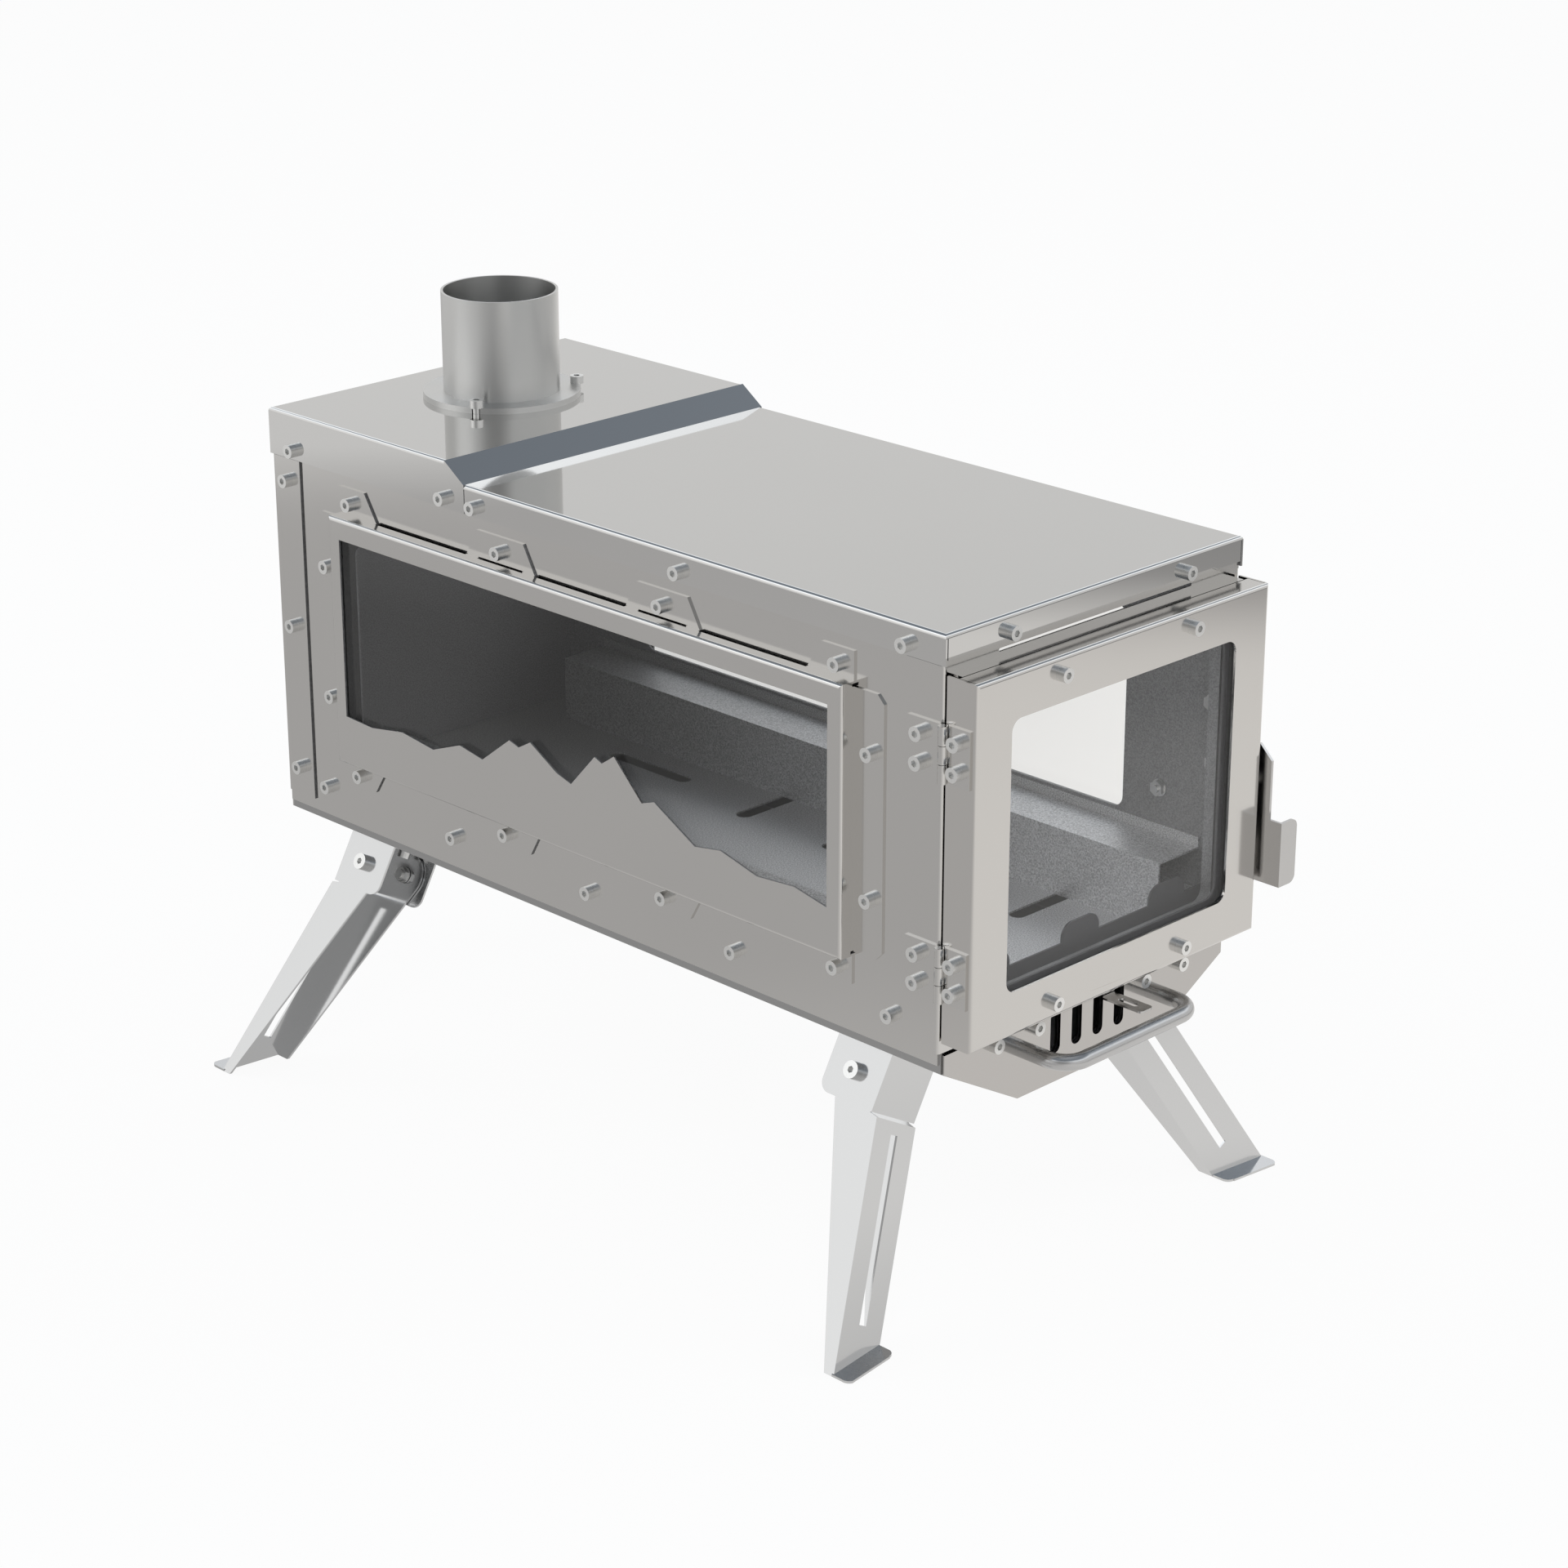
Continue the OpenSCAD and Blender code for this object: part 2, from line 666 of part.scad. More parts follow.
// Casing fasteners
module top_cover_screws() {
    at_body() color("#cfcfce") {
        both_sides() cover_side_places() bolt_pair(cover_x - half_w + sheet);
        cover_end_places() bolt_pair(2 * sheet + sheet_play);
    }
}
module side_fasteners() {
    casing_places() bolt_pair(3 * sheet);
    for (z = rear_screw_zs) face_right(half_w + sheet, body_l - rear_screw_inset, z)
        bolt_pair((z < hopper_flange ? 4 : 2) * sheet);
}
module left_casing_screws() { at_body() color("#cfcfce") other_side() side_fasteners(); }
module right_casing_screws() {
    at_body() color("#cfcfce") {
        side_fasteners();
        for (z = frame_screw_zs) face_right(half_w + sheet, frame_screw_y, z)
            bolt_pair((z < hopper_flange ? 4 : 2) * sheet);
    }
}

// Side windows: a raised frame screwed on by tabs, over a sealed pane
tab_h = 14;
tab_root_half = 25;
tab_top_half = 17;
end_tab_root = 29;
end_tab_top = 20;
end_tab_screw_in = 9.3;
tab_gaps = 3;
tab_pitch = (win_l - 2 * end_tab_screw_in) / tab_gaps;
tab_screw_out = 6.1;
bottom_screw_out = 7.7;
wing_l = 18.5;
wing_margin = 2.5;
wing_bevel = 4;
wing_screw_out = 11;
wing_screw_half = 35;
root_slot_l = 32;
root_slot_deep = 0.6;
flange_lift = 2 * sheet;
win_y0 = win_in;
win_y1 = body_l - win_in;
win_mid_z = (win_z0 + win_z1) / 2;
module window_places() {
    x = half_w + sheet;
    for (i = [-1.5:1:1.5]) {
        face_right(x, body_mid + i * tab_pitch, win_z1 + tab_screw_out) children();
        face_right(x, body_mid + i * tab_pitch, win_z0 - bottom_screw_out) children();
    }
    for (s = [-1, 1], t = [-1, 1])
        face_right(x, body_mid + s * (win_l / 2 + wing_screw_out), win_mid_z + t * wing_screw_half)
            children();
}
// One tab, rising from the frame edge at height zero
module middle_tab() {
    polygon([[-tab_root_half, -sheet], [tab_root_half, -sheet], [tab_root_half, 0],
        [tab_top_half, tab_h], [-tab_top_half, tab_h], [-tab_root_half, 0]]);
}
module end_tab() {
    polygon([[-end_tab_root, -sheet], [0, -sheet], [0, tab_h], [-end_tab_top, tab_h],
        [-end_tab_root, 0]]);
}
module tab_row() {
    for (i = [-0.5, 0.5]) translate([i * tab_pitch, 0]) middle_tab();
    translate([win_l / 2, 0]) end_tab();
    mirror([1, 0]) translate([win_l / 2, 0]) end_tab();
}
// The folds that join the tabs to the flange
module tab_roots() {
    for (i = [-0.5, 0.5]) translate([i * tab_pitch - tab_root_half, -sheet])
        square([2 * tab_root_half, sheet]);
    for (s = [0, 1]) mirror([s, 0]) translate([win_l / 2 - end_tab_root, -sheet])
        square([end_tab_root, sheet]);
}
module wing() {
    h = win_z1 - win_z0 - 2 * wing_margin;
    polygon([[-sheet, 0], [wing_l - wing_bevel, 0], [wing_l, wing_bevel],
        [wing_l, h - wing_bevel], [wing_l - wing_bevel, h], [-sheet, h]]);
}
// A generic mountain ridge, as shares of the opening's length and height
ridge_shares = [[0, 0], [0.06, 0.04], [0.13, 0.02], [0.2, 0.08], [0.25, 0.05], [0.33, 0.2],
    [0.355, 0.17], [0.41, 0.36], [0.435, 0.3], [0.45, 0.32], [0.5, 0.13], [0.53, 0.16],
    [0.585, 0.27], [0.61, 0.22], [0.63, 0.24], [0.69, 0.08], [0.74, 0.11], [0.8, 0.03],
    [0.87, 0.06], [0.94, 0.02], [1, 0.03], [1, 0]];
module ridge() {
    translate([-pane_l / 2, pane_z0 - hair])
        polygon([for (p = ridge_shares) [p[0] * pane_l, p[1] * (pane_z1 - pane_z0)]]);
}
// The folded tray of the frame, with its long and its end edges rounded
module win_block(in) {
    r = bend_r - in;
    x0 = half_w + flange_lift - cut * in;
    x1 = half_w + win_depth - in;
    intersection() {
        across(win_y0 + in, win_l - 2 * in) difference() {
            translate([x0, win_z0 + in]) square([x1 - x0, win_z1 - win_z0 - 2 * in]);
            translate([x1 - r, win_z1 - in - r]) corner_bite(r);
            translate([x1 - r, win_z0 + in + r]) rotate(-90) corner_bite(r);
        }
        translate([0, 0, win_z0]) linear_extrude(win_z1 - win_z0) difference() {
            translate([x0, win_y0 + in]) square([x1 - x0, win_l - 2 * in]);
            translate([x1 - r, win_y1 - in - r]) corner_bite(r);
            translate([x1 - r, win_y0 + in + r]) rotate(-90) corner_bite(r);
        }
    }
}
module window_frame(low) {
    color("#9b9996") difference() {
        union() {
            difference() {
                win_block(0);
                win_block(sheet);
                upright(half_w + win_depth - sheet - cut, sheet + 2 * cut)
                    translate([body_mid - pane_l / 2, low]) square([pane_l, pane_z1 - low]);
            }
            upright(half_w + win_depth - sheet, sheet) translate([body_mid, 0]) children();
            upright(half_w, sheet) translate([body_mid, 0]) {
                translate([0, win_z1]) tab_row();
                translate([0, win_z0]) mirror([0, 1]) tab_row();
                for (s = [0, 1]) mirror([s, 0])
                    translate([win_l / 2, win_z0 + wing_margin]) wing();
            }
            upright(half_w, flange_lift + hair) translate([body_mid, 0]) {
                translate([0, win_z1]) tab_roots();
                translate([0, win_z0]) mirror([0, 1]) tab_roots();
                for (s = [0, 1]) mirror([s, 0])
                    translate([win_l / 2 - sheet, win_z0 + wing_margin])
                        square([sheet, win_z1 - win_z0 - 2 * wing_margin]);
            }
        }
        for (i = [-0.5, 0.5], z = [win_z0, win_z1])
            translate([half_w - cut, body_mid + i * tab_pitch - root_slot_l / 2,
                z - (z > win_mid_z ? sheet + cut : root_slot_deep)])
                cube([flange_lift + cut, root_slot_l, sheet + cut + root_slot_deep]);
        window_places() screw_bore(2 * sheet);
    }
}
module left_window_frame() { at_body() other_side() window_frame(pane_z0) ridge(); }
module right_window_frame() { at_body() window_frame(plain_z0); }

pane_lap = 5;
pane_r = 3;
seal_w = 3.6;
module pane(lap) {
    round_rect(pane_l + 2 * lap, plain_z0 - lap, pane_z1 + lap, pane_r);
}
module window_glass() {
    x = half_w + win_depth - sheet - glass_t;
    color("#d8dcdc", 0.35) upright(x, glass_t) translate([body_mid, 0]) pane(pane_lap);
}
module left_window_glass() { at_body() other_side() window_glass(); }
module right_window_glass() { at_body() window_glass(); }
module window_gasket() {
    t = win_depth - sheet - glass_t;
    color("#2c2c2c") upright(half_w, t) translate([body_mid, 0]) difference() {
        pane(pane_lap);
        pane(pane_lap - seal_w);
    }
}
module left_window_gasket() { at_body() other_side() window_gasket(); }
module right_window_gasket() { at_body() window_gasket(); }
module window_fasteners() { window_places() bolt_pair(2 * sheet); }
module left_window_screws() { at_body() color("#cfcfce") other_side() window_fasteners(); }
module right_window_screws() { at_body() color("#cfcfce") window_fasteners(); }

// Door: a folded tray with a sealed pane behind its window
door_half_w = door_w / 2;
door_face = -door_face_y;
door_back = -door_back_gap;
top_flange_gap = 8;
door_win_r = 6;
door_seam_w = 0.4;
door_screw_x = 45;
door_screw_in = 8.2;
retainer_t = 1;
rope_t = 3.1;
rope_w = 3.6;
glass_y = door_face + door_sheet;
retainer_y = glass_y + glass_t + rope_t;
retainer_margin = 8;
door_pane_lap = 7;
latch_pivot_y = 8.6;
module door_places() {
    for (x = [-door_screw_x, door_screw_x], z = [door_z0 + door_screw_in, door_z1 - door_screw_in])
        face_front(x, door_face, z) children();
}
module door_block(in) {
    depth = door_back - door_face;
    r = in > 0 ? bend_r - door_sheet : bend_r;
    intersection() {
        translate([0, 0, door_z0 + in]) linear_extrude(door_z1 - door_z0 - 2 * in) difference() {
            translate([-door_half_w + in, door_face + in])
                square([door_w - 2 * in, depth - in + (in > 0 ? cut : 0)]);
            for (s = [-1, 1]) translate([s * (door_half_w - in - r), door_face + in + r])
                rotate(s > 0 ? -90 : 180) corner_bite(r);
        }
        upright(-door_half_w, door_w) difference() {
            translate([door_face + in, door_z0 + in])
                square([depth - in + (in > 0 ? cut : 0), door_z1 - door_z0 - 2 * in]);
            translate([door_face + in + r, door_z1 - in - r]) rotate(90) corner_bite(r);
            translate([door_face + in + r, door_z0 + in + r]) rotate(180) corner_bite(r);
        }
    }
}
module latch_pivot_place() {
    face_right(door_half_w, door_face + latch_pivot_y, latch_pivot_z) children();
}
module door_shell() {
    at_body() color("#c6c2be") difference() {
        door_block(0);
        door_block(door_sheet);
        translate([-door_half_w + door_sheet, -top_flange_gap, door_z1 - 2 * door_sheet])
            cube([door_w - 2 * door_sheet, top_flange_gap, 3 * door_sheet]);
        across(door_face - cut, door_sheet + 2 * cut)
            round_rect(door_win_w, door_win_z0, door_win_z1, door_win_r);
        for (s = [-1, 1])
            translate([s * (door_half_w - door_sheet) - (s > 0 ? door_seam_w : 0),
                door_face + bend_r, door_z1 - door_sheet - cut])
                cube([door_seam_w, door_face_y, door_sheet + 2 * cut]);
        door_places() screw_bore(3 * door_sheet);
        latch_pivot_place() translate([0, 0, -2 * door_sheet])
            cylinder(h = 3 * door_sheet, d = pivot_d + 2 * hair);
        other_side() hinge_door_bores();
    }
}
module door_pane(lap) {
    round_rect(door_win_w + 2 * lap, door_win_z0 - lap, door_win_z1 + lap, door_win_r);
}
module door_glass() {
    at_body() color("#d8dcdc", 0.35) across(glass_y, glass_t) door_pane(door_pane_lap);
}
module door_gasket() {
    at_body() color("#2c2c2c") {
        across(glass_y + glass_t, rope_t) difference() {
            door_pane(door_pane_lap);
            door_pane(door_pane_lap - rope_w);
        }
        across(retainer_y + retainer_t, -sheet - lip_l - retainer_y - retainer_t - hair)
            difference() {
                seal_ring(rope_w / 2);
                seal_ring(-rope_w / 2);
            }
    }
}
module seal_ring(out) {
    mid = lip_out / 2;
    round_rect(2 * (lip_half_w - mid + out), lip_z0 + mid - out, lip_z1 - mid + out,
        frame_bore_r + out);
}
module door_retainer() {
    x = door_half_w - retainer_margin;
    at_body() color("#4c4d4f") difference() {
        across(retainer_y, retainer_t)
            round_rect(2 * x, door_z0 + retainer_t * 3, door_z1 - retainer_t * 3, bend_r);
        across(retainer_y - cut, retainer_t + 2 * cut) door_pane(0);
        door_places() screw_bore(door_face_y);
    }
}
module door_screws() {
    at_body() color("#cfcfce") door_places() bolt_pair(retainer_y + retainer_t - door_face);
}

// Hinges: two rolled leaves on a pin, at two heights on the left side
hinge_low = 34;
hinge_drop = 35.2;
hinge_zs = [door_z0 + hinge_low, door_z1 - hinge_drop];
hinge_h = 27;
leaf_t = 1.2;
knuckle_r = 2.2;
knuckle_gap = 0.3;
pin_r = 1;
pin_play = 0.05;
hinge_out = 2.4;
hinge_y = 2.3;
hinge_screw_half = 6.85;
hinge_screw_y = 11;
hinge_door_screw_y = 10;
body_leaf_l = 19;
door_leaf_y = 17;
module hinge_axis() { translate([half_w + hinge_out, -hinge_y, 0]) children(); }
module knuckle(z, from, to) {
    h = (to - from) * hinge_h - knuckle_gap;
    hinge_axis() translate([0, 0, z - hinge_h / 2 + from * hinge_h + knuckle_gap / 2])
        difference() {
            cylinder(h = h, r = knuckle_r);
            translate([0, 0, -cut]) cylinder(h = h + 2 * cut, r = pin_r + pin_play);
        }
}
knuckle_shares = [0, 0.34, 0.66, 1];
module knuckle_room(z, from, to) {
    play = knuckle_gap;
    hinge_axis() translate([0, 0, z - hinge_h / 2 + from * hinge_h - play / 2])
        cylinder(h = (to - from) * hinge_h + play, r = knuckle_r + play);
}
module pin_room(z) {
    hinge_axis() translate([0, 0, z - hinge_h / 2 - cut])
        cylinder(h = hinge_h + 2 * cut, r = pin_r + pin_play);
}
module hinge_body_bores() {
    for (z = hinge_zs, s = [-1, 1])
        face_right(half_w + sheet, hinge_screw_y, z + s * hinge_screw_half)
            translate([0, 0, -4 * sheet]) cylinder(h = 4 * sheet + cut, d = screw_hole_d);
}
module hinge_door_bores() {
    for (z = hinge_zs, s = [-1, 1])
        face_right(door_half_w, -hinge_door_screw_y, z + s * hinge_screw_half)
            translate([0, 0, -2 * door_sheet]) cylinder(h = 3 * door_sheet, d = screw_hole_d);
}
module hinge_body_leaf(z) {
    k = knuckle_shares;
    difference() {
        union() {
            translate([half_w + sheet, -hinge_y, z - hinge_h / 2])
                cube([leaf_t, hinge_y + body_leaf_l, hinge_h]);
            knuckle(z, k[0], k[1]);
            knuckle(z, k[2], k[3]);
        }
        knuckle_room(z, k[1], k[2]);
        pin_room(z);
        hinge_leaf_bores(z, half_w + sheet, hinge_screw_y);
    }
}
module hinge_leaf_bores(z, x, y) {
    for (s = [-1, 1]) face_right(x, y, z + s * hinge_screw_half)
        translate([0, 0, -cut]) cylinder(h = leaf_t + 2 * cut, d = screw_hole_d);
}
module hinge_door_leaf(z) {
    k = knuckle_shares;
    difference() {
        union() {
            translate([door_half_w, -door_leaf_y, z - hinge_h / 2])
                cube([leaf_t, door_leaf_y - hinge_y, hinge_h]);
            knuckle(z, k[1], k[2]);
        }
        knuckle_room(z, k[0], k[1]);
        knuckle_room(z, k[2], k[3]);
        pin_room(z);
        hinge_leaf_bores(z, door_half_w, -hinge_door_screw_y);
    }
}
module hinge_body_leaves() {
    at_body() color("#b4b6b8") other_side() for (z = hinge_zs) hinge_body_leaf(z);
}
module hinge_door_leaves() {
    at_body() color("#b4b6b8") other_side() for (z = hinge_zs) hinge_door_leaf(z);
}
module hinge_pins() {
    at_body() color("#9a9c9e") other_side() for (z = hinge_zs)
        hinge_axis() translate([0, 0, z - hinge_h / 2]) cylinder(h = hinge_h, r = pin_r);
}
module hinge_body_screws() {
    at_body() color("#cfcfce") other_side() for (z = hinge_zs, s = [-1, 1])
        face_right(half_w + sheet + leaf_t, hinge_screw_y, z + s * hinge_screw_half)
            bolt_pair(leaf_t + 2 * sheet);
}
module hinge_door_screws() {
    at_body() color("#cfcfce") other_side() for (z = hinge_zs, s = [-1, 1])
        face_right(door_half_w + leaf_t, -hinge_door_screw_y, z + s * hinge_screw_half)
            bolt_pair(leaf_t + door_sheet);
}

// Latch: a bent handle plate that hooks a stud on the casing
latch_t = 1.5;
latch_gap = 2.3;
latch_bore_d = pivot_d + pivot_play;
latch_head_play = 0.1;
keeper_play = 1;
keeper_out = 20;
keeper_rise = 4;
keeper_d = 5;
keeper_head_d = 8;
keeper_head_h = 2;
hook_slot_w = 6.4;
latch_throw = 10;
latch_lift = 14;
track_spare = 9;
grip_front = 12;
grip_low = 50;
grip_high = 17.5;
grip_back = 6;
grip_flange = 12;
grip_r = 4;
strip_front = 4.4;
strip_top = 19;
strip_bevel = 7;
hook_reach = 27;
hook_low = 7.2;
hook_bevel = 3;
keeper_y = door_face + latch_pivot_y + keeper_out;
// Arc the keeper runs in, from well under the hook to the end of the throw
module keeper_track() {
    r = norm([keeper_out, keeper_rise]);
    a = atan2(keeper_rise, keeper_out);
    low = a - latch_lift - latch_throw;
    high = a + latch_throw + track_spare;
    intersection() {
        difference() {
            circle(r + hook_slot_w / 2);
            circle(r - hook_slot_w / 2);
        }
        polygon([[0, 0], [2 * r * cos(low), 2 * r * sin(low)],
            [2 * r * cos(high), 2 * r * sin(high)]]);
    }
}
module latch_outline() {
    front = door_face - grip_front;
    strip = door_face - strip_front;
    translate([door_face + latch_pivot_y, latch_pivot_z]) difference() {
        polygon([[front - latch_y(), -grip_low], [front - latch_y(), -grip_high],
            [strip - latch_y(), -grip_high], [strip - latch_y(), strip_top - strip_bevel],
            [strip - latch_y() + strip_bevel, strip_top], [hook_reach - hook_bevel, strip_top],
            [hook_reach, strip_top - hook_bevel], [hook_reach, hook_low],
            [keeper_out - hook_slot_w, hook_low], [grip_back, -hook_low],
            [grip_back, -grip_high], [0, -2 * grip_high], [0, -grip_low]]);
        keeper_track();
        circle(d = latch_bore_d);
    }
}
function latch_y() = door_face + latch_pivot_y;
module grip_outline() {
    h = grip_low - grip_high;
    difference() {
        square([grip_flange, h]);
        translate([grip_flange - grip_r, h - grip_r]) corner_bite(grip_r);
        translate([grip_flange - grip_r, grip_r]) rotate(-90) corner_bite(grip_r);
    }
}
module latch_handle() {
    x = door_half_w + latch_gap;
    at_body() color("#a3a09d") {
        upright(x, latch_t) latch_outline();
        translate([x, 0, latch_pivot_z - grip_low]) across(door_face - grip_front, latch_t)
            grip_outline();
    }
}
module latch_pivot() {
    collar = latch_gap - latch_head_play;
    at_body() color("#b9babb") latch_pivot_place() {
        stack = door_sheet;
        head_z = latch_gap + latch_t + latch_head_play;
        difference() {
            union() {
                translate([0, 0, -stack - nut_h - nut_tail])
                    cylinder(h = stack + nut_h + nut_tail + head_z + hair, d = pivot_d);
                cylinder(h = collar, d = pivot_head_d);
                translate([0, 0, head_z]) cylinder(h = keeper_head_h, d = pivot_head_d);
            }
            translate([0, 0, head_z + keeper_head_h / 2])
                cylinder(h = keeper_head_h, d = socket_af / cos(hex_turn), $fn = 6);
        }
        translate([0, 0, -stack]) mirror([0, 0, 1]) flange_nut(pivot_d + 2 * hair);
    }
}
module keeper_place() {
    face_right(half_w + sheet, keeper_y, latch_pivot_z + keeper_rise) children();
}
module keeper_bore() {
    keeper_place() translate([0, 0, -3 * sheet])
        cylinder(h = 3 * sheet + cut, d = keeper_d + 2 * hair);
}
module latch_keeper() {
    reach = door_half_w + latch_gap + latch_t + keeper_play - half_w - sheet;
    at_body() color("#b9babb") keeper_place() {
        translate([0, 0, -2 * sheet - nut_h - nut_tail])
            cylinder(h = 2 * sheet + nut_h + nut_tail + reach + hair, d = keeper_d);
        translate([0, 0, reach]) cylinder(h = keeper_head_h, d = keeper_head_d);
        translate([0, 0, -2 * sheet]) mirror([0, 0, 1]) flange_nut(keeper_d + 2 * hair);
    }
}

// Ash drawer: a tray in the belly behind a six-sided front
drawer_play = 1;
tray_top = -6;
tray_rear_gap = 12;
tray_side_in = sheet + nut_h + nut_tail + drawer_play;
drawer_top = 5;
wall_top = 4.9;
drawer_gap = 0.2;
drawer_t = 1.2;
drawer_front_y = -sheet - drawer_gap - drawer_t;
tray_wall_t = 1;
air_slot_top = 3.2;
air_slot_low = -18.5;
drawer_screw_xs = [37.6, 65.3];
shutter_t = 1;
shutter_gap = 0.3;
shutter_travel = slot_pitch / 2;
shutter_left = 34.4;
shutter_right = 27.4;
shutter_low = -22;
shutter_top = 4.2;
tab_x = 13.5;
tab_z = -1;
tab_w = 9;
tab_reach = 27;
tab_slot_w = 3.4;
tab_r = 2;
guide_half = 32;
guide_deep = 2.8;
guide_t = 1;
guide_play = 0.3;
guide_lap = 2;
tray_y = drawer_front_y + drawer_t;
shutter_y = tray_y + tray_wall_t + shutter_gap;
module drawer_outline(in, top) {
    z = -belly_drop + in;
    polygon([[hopper_x - in - drawer_play, top],
        [hopper_x - in - drawer_play, slope_z(hopper_x - in - drawer_play, in)],
        [slope_x(z, in), z], [-slope_x(z, in), z],
        [-hopper_x + in + drawer_play, slope_z(hopper_x - in - drawer_play, in)],
        [-hopper_x + in + drawer_play, top]]);
}
module air_slots(shift) {
    for (i = [-1.5:1:1.5])
        long_slot(shift + i * slot_pitch, air_slot_low + slot_w / 2, shift + i * slot_pitch,
            air_slot_top - slot_w / 2, slot_w);
}
module tab_slit() {
    translate([tab_x - tab_w / 2 - guide_play, tab_z - guide_play])
        square([tab_w + shutter_travel + 2 * guide_play, shutter_t + 2 * guide_play]);
}
module drawer_places() {
    for (x = drawer_screw_xs, s = [-1, 1]) face_front(s * x, drawer_front_y, 0) children();
}
module drawer_front() {
    at_body() color("#b5b1ae") difference() {
        across(drawer_front_y, drawer_t) difference() {
            drawer_outline(0, drawer_top);
            air_slots(0);
            tab_slit();
        }
        drawer_places() screw_bore(2 * drawer_t);
    }
}
module tray_profile(in) {
    z = -belly_drop + sheet + drawer_play + in;
    top = tray_top + cut * in;
    side = tray_side_in + in;
    polygon([[slope_x(top, side), top], [slope_x(z, side), z], [-slope_x(z, side), z],
        [-slope_x(top, side), top]]);
}
module ash_tray() {
    in = sheet + drawer_play;
    len = body_l - tray_rear_gap;
    at_body() color("#85868a") difference() {
        union() {
            across(tray_y, tray_wall_t) drawer_outline(in, wall_top);
            across(tray_y, len - tray_y) difference() {
                tray_profile(0);
                tray_profile(sheet);
            }
            across(len - sheet, sheet) tray_profile(0);
            for (low = [0, 1]) {
                z = low > 0 ? shutter_low - guide_play - guide_t : shutter_top + guide_play;
                lap_z = low > 0 ? z : z - guide_lap;
                translate([-guide_half, tray_y, z]) cube([2 * guide_half, guide_deep + guide_t,
                    guide_t]);
                translate([-guide_half, tray_y + guide_deep, lap_z])
                    cube([2 * guide_half, guide_t, guide_lap + guide_t]);
            }
        }
        across(tray_y - cut, tray_wall_t + 2 * cut - shutter_gap) {
            air_slots(0);
            tab_slit();
        }
        drawer_places() translate([0, 0, -drawer_t - tray_wall_t - cut])
            cylinder(h = tray_wall_t + 2 * cut, d = screw_d + 2 * hair);
    }
}
module drawer_handle() {
    z = -8.5;
    bend = 12;
    front = -handle_reach + rod_d / 2;
    at_body() color("#8b8a88") translate([0, 0, z]) {
        both_sides() {
            translate([handle_half_w, drawer_front_y, 0]) rotate([90, 0, 0])
                cylinder(h = drawer_front_y - front - bend, d = rod_d);
            translate([handle_half_w - bend, front + bend, 0]) rotate(-90)
                rotate_extrude(angle = 90) translate([bend, 0]) circle(d = rod_d);
        }
        translate([-handle_half_w + bend, front, 0]) rotate([0, 90, 0])
            cylinder(h = 2 * (handle_half_w - bend), d = rod_d);
    }
}
module drawer_screws() {
    at_body() color("#b8b8b7") drawer_places()
        socket_screw(drawer_t + tray_wall_t + shutter_t);
}
module air_shutter() {
    at_body() color("#9c9a97") {
        across(shutter_y, shutter_t) difference() {
            translate([-shutter_left, shutter_low])
                square([shutter_left + shutter_right, shutter_top - shutter_low]);
            air_slots(0);
        }
        translate([tab_x, 0, tab_z]) linear_extrude(shutter_t) difference() {
            translate([0, -tab_reach])
                round_rect(tab_w, 0, tab_reach + shutter_y + shutter_t, tab_r);
            long_slot(0, -tab_reach + 2 * tab_r + tab_slot_w, 0, -tab_reach / 2 + tab_r, tab_slot_w);
        }
    }
}

// Leg brackets and legs, drawn for the front right corner
module leg_place() {
    translate([root_x, front_leg_y, root_z]) rotate([0, -slope_a, 0]) other_side() children();
}
module front_place() { leg_place() children(); }
module rear_place() {
    translate([0, body_l - rear_leg_y - front_leg_y, 0])
        translate([0, 2 * front_leg_y, 0]) mirror([0, 1, 0]) leg_place() children();
}
module all_bracket_places() {
    front_place() children();
    rear_place() children();
}
// Inside leg_place X runs inwards along the slope, Z stands square off it
bracket_screw_half = 8;
module bracket_screw_places() {
    for (s = [-1, 1]) translate([bracket_w / 2, s * bracket_screw_half, -leg_sheet])
        mirror([0, 0, 1]) children();
}
free_corner_r = 6;
module bracket_side() {
    half = bracket_l / 2;
    difference() {
        translate([-half, -bracket_h]) square([bracket_l, bracket_h]);
        translate([half - free_corner_r, -bracket_h + free_corner_r]) rotate(-90)
            corner_bite(free_corner_r);
    }
}
module bracket() {
    half = bracket_l / 2;
    color("#c4c8ce") difference() {
        union() {
            upright(0, leg_sheet) bracket_side();
            upright(bracket_w - leg_sheet, leg_sheet) bracket_side();
            translate([0, -half, -bracket_h]) cube([bracket_w, leg_sheet, bracket_h]);
            translate([0, -half, -leg_sheet]) cube([bracket_w, bracket_l, leg_sheet]);
        }
        translate([-cut, 0, -bolt_drop]) rotate([0, 90, 0])
            cylinder(h = bracket_w + 2 * cut, d = pivot_d + 2 * hair);
        bracket_screw_places() screw_bore(2 * leg_sheet);
    }
}
module front_left_bracket() { at_body() other_side() front_place() bracket(); }
module front_right_bracket() { at_body() front_place() bracket(); }
module rear_left_bracket() { at_body() other_side() rear_place() bracket(); }
module rear_right_bracket() { at_body() rear_place() bracket(); }

